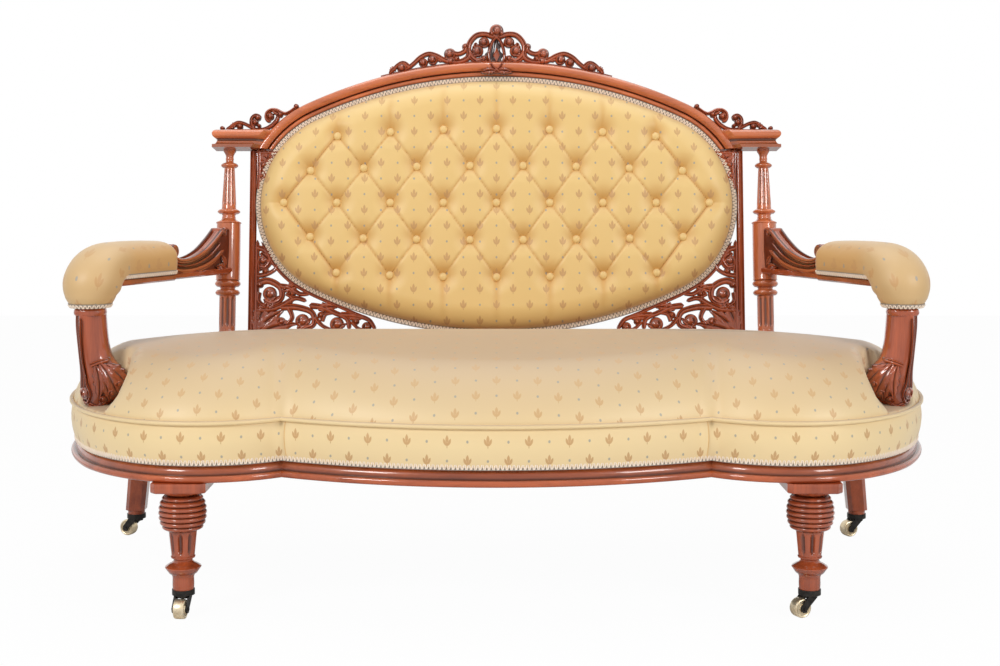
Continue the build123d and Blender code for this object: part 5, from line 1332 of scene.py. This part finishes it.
def hung_at(x, up, out=0.0):
    """Change that moves a carving to its place on the back."""
    return lambda points: on_back(np.asarray(points) + (x, up, out))


# %% Crest over the arch
ARCH_TOP = OVAL_MIDDLE + OVAL_TALL + ARCH_WIDTH
crest = carving(14, [
    ([(-7, 64), (9, 50), (18, 18), (11, -8), (-7, -28)], 6.5, 6),
    ([(4, 58), (24, 66), (46, 63), (62, 43), (61, 20), (46, 5), (28, 9)], 10, 11),
    ([(46, 3), (30, 0), (14, -4)], 9, 8),
    ([(60, 24), (66, 11), (82, 3), (102, 2)], 12, 9),
    ([(70, 37), (73, 27), (86, 21), (102, 24)], 9, 9),
    ([(98, 0), (118, 7), (136, 17), (154, 21), (172, 13), (187, -1), (204, -15)], 10, 8),
    ([(196, -10), (209, 0), (223, -5), (242, -25)], 9, 6),
], [
    (28, 47, 10), (43, 27, 11), (28, 9, 7), (70, 37, 6.5), (105, 20, 11), (103, 3, 9), (144, 7, 9.5),
    (165, 0, 8.5), (213, -12, 9.5), (90, 8, 6),
], [
    (2, -22, 34, 13, -8), (48, 46, 24, 12, -110), (56, 16, 24, 11, 150), (120, 4, 24, 10, 20),
    (226, -10, 22, 10, -40),
], bold=1.25)
crest.join(crest.moved(mirrored))
for x, up, radius in ((0, 73, 16), (-11, 66, 8), (11, 66, 8)):
    crest.add(*curl(x, up, radius, 15))
points, faces, _ = blade(0, -28, 94, 38, 90, 6)
crest.add(points, faces, np.ones(len(points)))
BUD_RINGS = ((12, 4), (11.5, 11), (0.4, 17))
crest.add(*skin([[(r * math.cos(a) * 0.62, 17 + r * math.sin(a) * 1.5, level) for a in full_turn(4)]
                 for r, level in BUD_RINGS]))


def over_arch(points):
    """Carving brought forward where it lies over the face of the arch."""
    forward = 20 * np.clip((6 - points[:, 1]) / 14, 0, 1) * np.clip((48 - np.abs(points[:, 0])) / 10, 0, 1)
    return points + np.column_stack([np.zeros((len(points), 2)), forward])


crest = crest.moved(over_arch)
strip = []
for turn in np.linspace(-0.262, 0.262, 60):
    low, high = (oval_point(turn, ARCH_WIDTH + grow)[0] - (0, ARCH_TOP) for grow in (-1, 5))
    strip.append([(*low, -2), (*high, -2), (*high, 9), (*low, 11)])
# Painted shade on the strip that joins the crest to the arch.
crest.add(*skin(strip), recess=np.tile([0.5, 0.8, 0.6, 0.2], len(strip)))
make_piece("carved_crest", crest.moved(hung_at(0, ARCH_TOP)), walnut, ["crest_centre"])
print("crest points:", len(crest.points))

# %% Scrolls on the shelves
scroll = carving(14, [
    ([(18, 1), (60, 1), (100, 1), (126, 1)], 5, 5),
    ([(28, 2), (38, 9), (47, 16), (56, 19), (68, 16), (80, 10), (91, 4)], 8, 9),
    ([(91, 3), (84, 14), (84, 27), (92, 35), (101, 33), (103, 27)], 9, 8),
    ([(88, 4), (102, 2), (114, 4), (125, 9), (134, 16), (141, 25), (143, 33)], 9, 10),
    ([(184, 54), (178, 49), (170, 43), (160, 39), (150, 42), (140, 47), (128, 47), (119, 41), (117, 32),
      (120, 24), (128, 21)], 7, 10),
], [
    (19, 5, 5.5), (58, 9, 7.5), (98, 29, 7.5), (92, 18, 8), (101, 11, 5), (126, 32, 9), (148, 36, 7),
    (184, 55, 6),
], [(130, 46, 28, 14, -30), (36, 4, 26, 11, 38)])
make_pair("shelf_scroll", scroll.moved(hung_at(-634, SHELF_TOP, 8)), walnut, "crest")
print("scroll points:", len(scroll.points))

# %% Frets beside the oval
fret = carving(12, [
    ([(5, 212), (5, 100), (6, 0)], 9, 12),
    ([(0, 6), (100, 6), (200, 5), (310, 4)], 14, 8),
    ([(14, 208), (42, 158), (78, 120), (124, 92), (178, 68), (226, 47), (262, 33)], 8, 8),
    ([(4, 196), (24, 188), (34, 168), (24, 151), (10, 152)], 13, 11),
    ([(4, 132), (26, 136), (44, 146), (50, 158)], 12, 8),
    ([(3, 114), (30, 121), (57, 106), (59, 82), (38, 70), (20, 80)], 17, 11),
    ([(52, 110), (78, 106), (100, 92), (122, 92)], 13, 9),
    ([(4, 56), (38, 58), (64, 68), (90, 82), (116, 76)], 15, 10),
    ([(56, 62), (94, 62), (128, 50), (132, 24), (108, 13)], 17, 11),
    ([(122, 66), (150, 62), (178, 50), (206, 36), (212, 12)], 15, 10),
    ([(150, 30), (158, 46), (176, 50)], 11, 8),
    ([(190, 46), (222, 44), (254, 34), (270, 12)], 13, 9),
    ([(10, 96), (10, 76), (26, 62)], 11, 8),
    ([(74, 64), (84, 40), (72, 22)], 12, 9),
    ([(134, 40), (150, 22), (170, 12)], 11, 8),
    ([(216, 30), (230, 16), (246, 10)], 9, 7),
    ([(70, 92), (84, 82), (80, 70)], 9, 7),
    ([(14, 176), (8, 164), (12, 142)], 9, 8),
], [
    (17, 166, 12), (34, 92, 16), (107, 31, 16), (184, 24, 16), (250, 18, 11), (84, 92, 8), (60, 30, 10),
    (148, 44, 8), (24, 142, 8), (226, 30, 8), (12, 112, 8),
], [
    (2, 2, 90, 36, 66), (2, 2, 84, 34, 40), (6, 2, 96, 30, 14), (140, 58, 46, 22, 4), (62, 98, 40, 20, 16),
    (206, 40, 40, 17, -6), (12, 184, 40, 18, -46), (96, 10, 44, 20, 40), (172, 8, 40, 17, 26),
    (30, 56, 40, 18, 52),
])
make_pair("lower_fret", fret.moved(hung_at(-OVAL_WIDE, 5)), walnut, "fret_lower")
spandrel = carving(12, [
    ([(5, -90), (7, -50), (5, 0)], 10, 14),
    ([(0, -5), (24, -6), (50, -4)], 12, 8),
    ([(6, -72), (20, -58), (12, -44)], 9, 7),
    ([(8, -30), (26, -22), (44, -10)], 10, 7),
], [(16, -34, 10), (12, -60, 8), (30, -16, 7)], [(4, -6, 58, 24, -44), (6, -8, 42, 17, -16)])
make_pair("upper_fret", spandrel.moved(hung_at(-OVAL_WIDE, MITRE_UP)), walnut, "fret_upper")
print("fret points:", len(fret.points))

# %% [markdown]
# ## Arms
#
# Each arm is a walnut rail from the column to the front, stuffed over its forward half. Behind the pad
# the rail shows as carved limbs that sweep up from a volute to a small curl on the column. They are
# carved alike on both faces, so one carving is drawn on the arm's own plane and laid on each face.

# %% Setting-out of the left arm
ARM_START, ARM_END = np.array([-600.0, 722.0]), np.array([-783.0, 252.0])
ARM_LENGTH = float(np.linalg.norm(ARM_END - ARM_START))
arm_ahead = (ARM_END - ARM_START) / ARM_LENGTH
arm_side = np.array([arm_ahead[1], -arm_ahead[0]])
ARM_LOW, PAD_LOW, PAD_START = 593, 606.4, 262


def on_arm(points):
    """Points drawn along, up and outward on the left arm, as X, Y and Z."""
    along, up, out = np.asarray(points, float).T
    plan = ARM_START + along[:, None] * arm_ahead + out[:, None] * arm_side
    return np.column_stack([plan, up])


print("arm length:", round(ARM_LENGTH, 1), "mm")

# %% Arm rails
RAIL_FACE, RAIL_LOW, RAIL_EASE = 10, ARM_LOW + 3, 1.5
VOLUTE, VOLUTE_HALF, END_CURL, CURL_HALF = (244, 652), 20, (37, 685), 14
sweep = smooth_curve([
    (236, 640), (215, 631), (185, 629), (150, 634), (112, 646), (78, 664), (52, 681), (38, 692),
], 40)
rail_rings = []
for along in np.linspace(8, PAD_START + 2, 60):
    top = np.interp(along, *sweep[::-1].T) + 3
    half_section = [(RAIL_FACE, RAIL_LOW), (RAIL_FACE, top - 5), (RAIL_FACE - 4, top - 1)]
    section = [(-out, up) for out, up in half_section] + [(0, top + 0.5)] + half_section[::-1]
    rail_rings.append([(along, up, out) for out, up in section])
# Painted shade on the rail's lower sides.
rail_shade = np.tile([0.7, 0.7, 0.1, 0, 0.1, 0.7, 0.7], len(rail_rings))
arm_rail = Shape().add(*skin(rail_rings), recess=rail_shade)
strip_rings = []
for along, half in ((8, 17), (PAD_START - 15, 21), (PAD_START + 2, 37), (440, 38), (470, 35)):
    slim = half - 3
    section = ((-half, 596), (-half, 603.5), (-slim, 606), (slim, 606), (half, 603.5), (half, 596),
               (slim, ARM_LOW), (-slim, ARM_LOW))
    strip_rings.append([(along, up, out) for out, up in section])
arm_rail.add(*skin(strip_rings))
for middle, radius, half in ((VOLUTE, 15, VOLUTE_HALF), (END_CURL, 9.5, CURL_HALF)):
    widths = np.array([-half, RAIL_EASE - half, half - RAIL_EASE, half])
    points, faces, _ = lathe(widths, radius - np.array([RAIL_EASE, 0, 0, RAIL_EASE]), count=32)
    arm_rail.add(points + (*middle, 0), faces)
rail_face = carving(7, [
    (sweep, 12, 9),
    ([(256, 632), (240, 614), (195, 606), (140, 609), (85, 622), (40, 646)], 15, 11),
    ([(236, 625), (195, 618), (145, 622), (95, 637), (52, 662)], 5, 4),
], [(52, 606, 6)], [(28, 599, 44, 20, 16), (30, 612, 30, 14, 52)])
volute_face = carving(5, curls=[(*VOLUTE, 14)])
curl_face = carving(5, curls=[(*END_CURL, 9)])
for side in (-1, 1):
    for carved, depth in ((rail_face, RAIL_FACE), (volute_face, VOLUTE_HALF), (curl_face, CURL_HALF - 1)):
        arm_rail.join(carved.moved(lambda points: points * (1, 1, side) + (0, 0, side * depth)))
make_pair("carved_arm_rail", arm_rail.moved(on_arm), walnut_arm, "arm_rail")
print("arm rail points:", len(arm_rail.points))

# %% [markdown]
# ## Arm pads
#
# The stuffing runs along the rail and turns down over its end as a full, round bulb. The pad is one
# tube of cloth along a bent line, so it is drawn as rings along that line: boxy underneath where it
# is tacked to the rail, round at the bulb. Cloth then swells it by a few millimetres, held at the tacks.

# %% Stuffed arm pads
ROLL_MIDDLE, BEND, ROLL_HALF, BULB_RADIUS, BULB_LOW = 641, 64, 49, 54, 554.6
BACK_HALF, BACK_HIGH, BACK_ROUND, ROLL_UNDER, BULB_HIGH, RING_CLOTH = 33, 14, 22, 34.6, 114.7, 45
roll_end = ARM_LENGTH - BEND
around_ring = np.linspace(-math.pi / 2, 1.5 * math.pi, 56, endpoint=False)


def power(value, exponent):
    """Signed power, which squares or rounds an oval."""
    return np.sign(value) * np.abs(value) ** exponent


def pad_ring(centre, tilt, wide, high, low, boxy):
    """Ring of the arm pad across its line, which is tilted down by an angle."""
    flat = np.where(np.sin(around_ring) < 0, 0.9 - 0.5 * boxy, 0.9 + 0.1 * (1 - boxy))
    out = wide * power(np.cos(around_ring), flat)
    rise = power(np.sin(around_ring), flat)
    rise = np.where(rise < 0, rise * low, rise * high)
    return np.column_stack([centre[0] + rise * math.sin(tilt), centre[1] + rise * math.cos(tilt), out])


def bulb_radius(height):
    """Radius of the bulb at a height above its tacked edge."""
    return BULB_RADIUS * (0.62 + 0.38 * np.sin(math.pi * np.clip(height / BULB_HIGH, 0, 1) ** 0.85))


def roll_half(along):
    """Half the width of the roll, which is rounded in plan at its back end."""
    return BACK_HALF + (ROLL_HALF - BACK_HALF) * quarter_round((along - PAD_START) / BACK_ROUND)


arm_rings = []
for depth, scale in ((-1.5, 0.2), (-1.2, 0.6), (0, 0.86)):
    centre = (PAD_START + 2 + depth, ROLL_MIDDLE)
    arm_rings.append(pad_ring(centre, 0, BACK_HALF * scale, BACK_HIGH * scale, ROLL_UNDER * scale, 0.9))
for along in np.linspace(PAD_START + 3, roll_end, 38):
    run = along - PAD_START
    roll_high = BACK_HIGH + 19 * quarter_round(run / BACK_ROUND) + 4 * math.sin(math.pi * min(run / 300, 1))
    arm_rings.append(pad_ring((along, ROLL_MIDDLE), 0, roll_half(along), roll_high, ROLL_UNDER, 1.0))
for share in np.linspace(0, 1, 24)[1:]:
    tilt = share * math.pi / 2
    blend = smooth_step(share)
    radius = ROLL_HALF + 5.5 * math.sin(math.pi * min(share / 1.5, 1))
    radius -= 6.4 * (max(0, share - 0.72) / 0.28) ** 2
    centre = (roll_end + BEND * math.sin(tilt), ROLL_MIDDLE - BEND + BEND * math.cos(tilt))
    high, low = (start + (radius - start) * blend for start in (roll_high, ROLL_UNDER))
    arm_rings.append(pad_ring(centre, tilt, radius, high, low, 1 - blend))
for height in np.linspace(ROLL_MIDDLE - BEND, BULB_LOW, 9)[1:]:
    radius = bulb_radius(height - BULB_LOW)
    arm_rings.append(pad_ring((ARM_LENGTH, height), math.pi / 2, radius, radius, radius, 0))
arm_rings = np.array(arm_rings)
# Painted shade on the inner side of the roll, facing the seat, towards its back end.
inner_side = np.clip(-np.cos(around_ring), 0, 1) ** 1.5
along_roll = np.clip((455 - arm_rings.mean(axis=1)[:, 0]) / 40, 0, 1)
arm_shade = 0.42 * along_roll[:, None] * inner_side[None, :]
arm_pad = Shape().add(*skin(arm_rings), recess=arm_shade.ravel())
run_of_ring = lengths_along(arm_rings.mean(axis=1))
ring_of_point = np.repeat(np.arange(len(arm_rings)), len(around_ring))
turn_of_point = np.tile(around_ring, len(arm_rings))
arm_cloth = np.column_stack([turn_of_point * RING_CLOTH, -run_of_ring[ring_of_point]])
underneath = np.sin(turn_of_point) < -0.75
held_points = (underneath & (ring_of_point < 52)) | (ring_of_point < 4) | (ring_of_point > len(arm_rings) - 3)
for arm in make_pair("stuffed_arm", arm_pad.moved(on_arm), satin_arm, "arm_pad", smooth=math.radians(70)):
    plump(arm, held_points, 3)
    lay_cloth(arm, arm_cloth, round_length=2 * math.pi * RING_CLOTH)
print("arm pad rings:", len(arm_rings))

# %% Braid of the arms
ARM_BRAID_WIDTH = 10
turns = np.linspace(0, 2 * math.pi, 49)
ring_out = np.column_stack([np.cos(turns), np.zeros(len(turns)), np.sin(turns)])
ring_line = ring_out * (bulb_radius(5) + 0.4) + (ARM_LENGTH, BULB_LOW + 4.6, 0)
lines = [(ring_line, ring_out * 0.57 + (0, 0.82, 0), ring_out * 0.82 - (0, 0.57, 0))]
edge_along = np.linspace(PAD_START + 5, 462, 40)
end_up = np.linspace(PAD_LOW + 8, PAD_LOW + 40, 12)
for side in (-1, 1):
    low_line = [(along, PAD_LOW + 5, side * (0.9 * roll_half(along) + 0.8)) for along in edge_along]
    lines.append((np.array(low_line), (0, 0.95, side * 0.3), (0, -0.3, side * 0.95)))
    end_line = [(PAD_START + 3, up, side * 32.5) for up in end_up]
    lines.append((np.array(end_line), (0.7, 0, side * 0.7), (-0.7, 0, side * 0.7)))
arm_braids = Shape()
for line, sides, outs in lines:
    laid = braid(line, all_along(line, sides), all_along(line, outs), ARM_BRAID_WIDTH).moved(on_arm)
    arm_braids.join(laid).join(laid.moved(mirrored))
make_piece("arm_braids", arm_braids, braid_finish, ["arm_gimps"])
print("braids on each arm:", len(lines))

# %% [markdown]
# ## Arm supports
#
# A support rises from the edge of the seat to the bulb. A channelled strip runs down its outer corner
# and ends in a volute, its face is a broad round, and a leaf wraps the knee where it swells inward
# over the seat. It is drawn as level sections, each between a left and a right edge.

# %% Arm supports
SUPPORT_FRONT, SUPPORT_LOW, SUPPORT_TOP = 224, 362, 554
support_heights = np.linspace(SUPPORT_LOW, SUPPORT_TOP - 1, 56)
left_edge = smooth_curve([
    (362, -791), (376, -799), (400, -804), (430, -804), (470, -807), (520, -811), (554, -810),
], 60)
right_edge = smooth_curve([
    (362, -753), (378, -735), (398, -718), (418, -714), (438, -726), (458, -743), (490, -751), (554, -756),
], 60)
# Each row: share across the support, depth back from its front, and the painted shade of that line.
SUPPORT_SECTION = [
    (0.02, 44, 0.5), (0, 26, 0.3), (0.03, 19, 0.2), (0.07, 19.5, 0.9), (0.11, 12, 0.2), (0.15, 12.5, 0.95),
    (0.2, 5, 0.3), (0.25, 1, 0), (0.33, -0.5, 0), (0.46, 0, 0), (0.6, 2, 0), (0.74, 6, 0), (0.86, 12, 0),
    (0.95, 20, 0), (1, 31, 0.1), (1, 42, 0.2), (0.92, 54, 0.4), (0.12, 54, 0.5),
]


def support_edges(height):
    """Left and right edges of the support at a height."""
    return np.interp(height, *left_edge.T), np.interp(height, *right_edge.T)


support_rings = []
for height in support_heights:
    left, right = support_edges(height)
    support_rings.append([(left + (right - left) * share, SUPPORT_FRONT + depth, height)
                          for share, depth, _ in SUPPORT_SECTION])
support_shade = np.tile([dark for _, _, dark in SUPPORT_SECTION], len(support_rings))
support = Shape().add(*skin(support_rings), recess=support_shade)


def on_support(points):
    """Carving drawn across, up and forward, laid on the curved face of the support."""
    x, up, out = np.asarray(points, float).T
    left, right = support_edges(up)
    front = [(share, depth) for share, depth, _ in SUPPORT_SECTION[1:15]]
    depth = np.interp((x - left) / (right - left), *np.array(front).T)
    return np.column_stack([x, SUPPORT_FRONT + depth - out, up])


knee = carving(9, [
    ([(-794, 536), (-795, 490), (-791, 440), (-785, 412), (-777, 392), (-783, 374), (-796, 377)], 5, 4),
    ([(-776, 446), (-760, 452), (-744, 456)], 10, 9),
    ([(-780, 372), (-764, 366), (-750, 376)], 9, 7),
], [(-791, 391, 12), (-737, 391, 8), (-753, 380, 7), (-724, 408, 7)], [
    (-758, 450, 78, 30, -66), (-766, 447, 72, 22, -86), (-748, 447, 58, 22, -50), (-752, 420, 46, 20, -78),
])
support.join(knee.moved(on_support))
COLLAR_RINGS = ((25, 539.5), (28, 540.5), (29.6, 543.5), (30, 547), (29.4, 550.5), (27.5, 553.3), (25, 554))
turns = full_turn(40)
collar = np.column_stack([power(np.cos(turns), 0.7), power(np.sin(turns), 0.7)])
support.add(*skin([at_height(ARM_END + collar * half, height) for half, height in COLLAR_RINGS]))
make_pair("scrolled_support", support, walnut, "arm_support")
print("support points:", len(support.points))

# %% [markdown]
# ## Castors, outside back and the inside of the seat
#
# The castors are brass wheels in black iron horns, and the horns and cups come straight from the CAD
# model. Behind the oval is a board under plain cloth. Under the seat are jute webs woven over and
# under each other, coil springs tied on them, and a black cloth that keeps the dust in.

# %% Castor wheels
WHEEL_TRAIL, WHEEL_RADIUS = 20, 18
CASTORS = {"front_left": (-575, 86, 265), "front_right": (575, 86, 205), "back_left": (-811, 732, 160),
           "back_right": (811, 732, 200)}
half_wheel = [
    (-10.3, 5.5), (-10.4, 8), (-8.8, 8.6), (-8.3, 12.6), (-9.6, 13.6), (-10.2, 15.2), (-9.4, 17),
    (-7.4, 17.8),
]
other_half = [(-across, radius) for across, radius in half_wheel[::-1]]
wheel_profile = np.array(half_wheel + [(0, WHEEL_RADIUS)] + other_half)
points, faces, hollow = lathe(*wheel_profile.T, count=48)
for name, (x, y, heading) in CASTORS.items():
    turn = math.radians(heading)
    trail = points[:, 0] + WHEEL_TRAIL
    placed = np.column_stack([
        x + trail * math.cos(turn) - points[:, 2] * math.sin(turn),
        y + trail * math.sin(turn) + points[:, 2] * math.cos(turn),
        points[:, 1] + WHEEL_RADIUS,
    ])
    # Painted shade in the wheel's grooves, a little lighter than on the wood.
    wheel = Shape().add(placed, faces, hollow * 0.6)
    make_piece(f"{name}_brass_wheel", wheel, brass, [f"castor_{name}_wheel"], f"{name}_castor_wheel")
print("wheels:", len(CASTORS))

# %% Outside back
BOARD_RINGS = (
    (1, -13.8), (1, -15.6), (0.99, -16.8), (0.94, -17.8), (0.8, -18.8), (0.55, -19.6), (0.25, -20),
    (0.04, -20),
)
outline = oval_line(-3)[0]
middle = np.array([0, OVAL_MIDDLE])
board_rings = [at_height(middle + (outline - middle) * share, out) for share, out in BOARD_RINGS]
board = Shape().add(*skin(board_rings))
make_piece("outside_back", board.moved(on_back), back_cloth, ["back_panel"])
print("outline of the outside back:", len(outline), "points")

# %% Webs, springs and bottom cloth
WEB_INSET, WEB_WIDTH, WEB_HALF_THICK, WEB_END = 35, 50, 0.6, 4
WEB_PITCH, WEB_LEVEL, WEB_SWING = 140, 251.5, 0.8
web_edge = seat_line(WEB_INSET, tail=1)
front_edge = web_edge[np.argsort(web_edge[:, 0])]
front_edge = front_edge[front_edge[:, 1] < SEAT_BACK / 2]
side_edge = left_line(WEB_INSET, 14)
webs = Shape()


def web(first, last, across, over):
    """Strap from one end to the other, woven over and under those that cross it."""
    share = np.linspace(0, 1, 90)[:, None]
    line = np.array(first) * (1 - share) + np.array(last) * share
    travel = line[:, 1] - SEAT_BACK / 2 + WEB_PITCH / 2 if across[0] else line[:, 0]
    woven = at_height(line, WEB_LEVEL + over * np.cos(math.pi * travel / WEB_PITCH))
    sides, outs = all_along(woven, (*across, 0)), all_along(woven, UP)
    webs.add(*strap(woven, sides, outs, WEB_WIDTH, -WEB_HALF_THICK, WEB_HALF_THICK))


for index in range(4):
    y = SEAT_BACK / 2 + (index - 1.5) * WEB_PITCH
    reach = -np.interp(y, side_edge[8:40, 1], side_edge[8:40, 0]) - WEB_END
    web((-reach, y), (reach, y), (0, 1), WEB_SWING * (-1) ** index)
for index in range(9):
    x = (index - 4) * WEB_PITCH
    start = max(np.interp(x, *front_edge.T), 140 if abs(x) > 500 else 0) + WEB_END
    web((x, start), (x, SEAT_BACK - WEB_INSET - WEB_END), (1, 0), WEB_SWING * (-1) ** index)
make_piece("woven_webs", webs, webbing, ["seat_webbing"])

SPRING_COUNT, COIL_POINTS, COIL_TURNS, COIL_LOW, COIL_HIGH = 7, 150, 4.5, 256, FRAME_TOP - 3
COIL_RADIUS, COIL_WAIST, WIRE_RADIUS = 40, 15, 2
share = np.linspace(0, 1, COIL_POINTS)
spin = 2 * math.pi * COIL_TURNS * share
coil_out = np.column_stack([np.cos(spin), np.sin(spin), np.zeros(COIL_POINTS)])
coil_line = coil_out * (COIL_RADIUS - COIL_WAIST * np.sin(math.pi * share))[:, None]
coil_line[:, 2] = COIL_LOW + (COIL_HIGH - COIL_LOW) * share
points, faces = tube(coil_line, all_along(coil_line, UP), coil_out, WIRE_RADIUS, 6)
coils = Shape()
for index in range(SPRING_COUNT):
    coils.add(points + ((index - 3) * 2 * LEG_X / SPRING_COUNT, SEAT_BACK / 2, 0), faces)
make_piece("coil_springs", coils, steel, ["seat_springs"])

CLOTH_INSET, CLOTH_LEVEL, CLOTH_SAG, CLOTH_SPINE = 28, 249.4, 5, 420
cloth_edge = seat_line(CLOTH_INSET, tail=1)
spine_x = np.clip(cloth_edge[:, 0], -CLOTH_SPINE, CLOTH_SPINE)
cloth_spine = np.column_stack([spine_x, np.full(len(cloth_edge), SEAT_BACK / 2)])
cloth_rings = []
for share in np.linspace(0, 0.98, 14):
    level = CLOTH_LEVEL - CLOTH_SAG * (1 - (1 - share) ** 2)
    cloth_rings.append(at_height(cloth_edge * (1 - share) + cloth_spine * share, level))
points, faces = skin(cloth_rings, caps=False)
middle_face = tuple(range(len(points) - len(cloth_edge), len(points)))
dust_cloth = Shape().add(points, faces + [middle_face])
bottom_cloth = make_piece("bottom_cloth", dust_cloth, black_cloth, ["seat_bottom_cloth"])
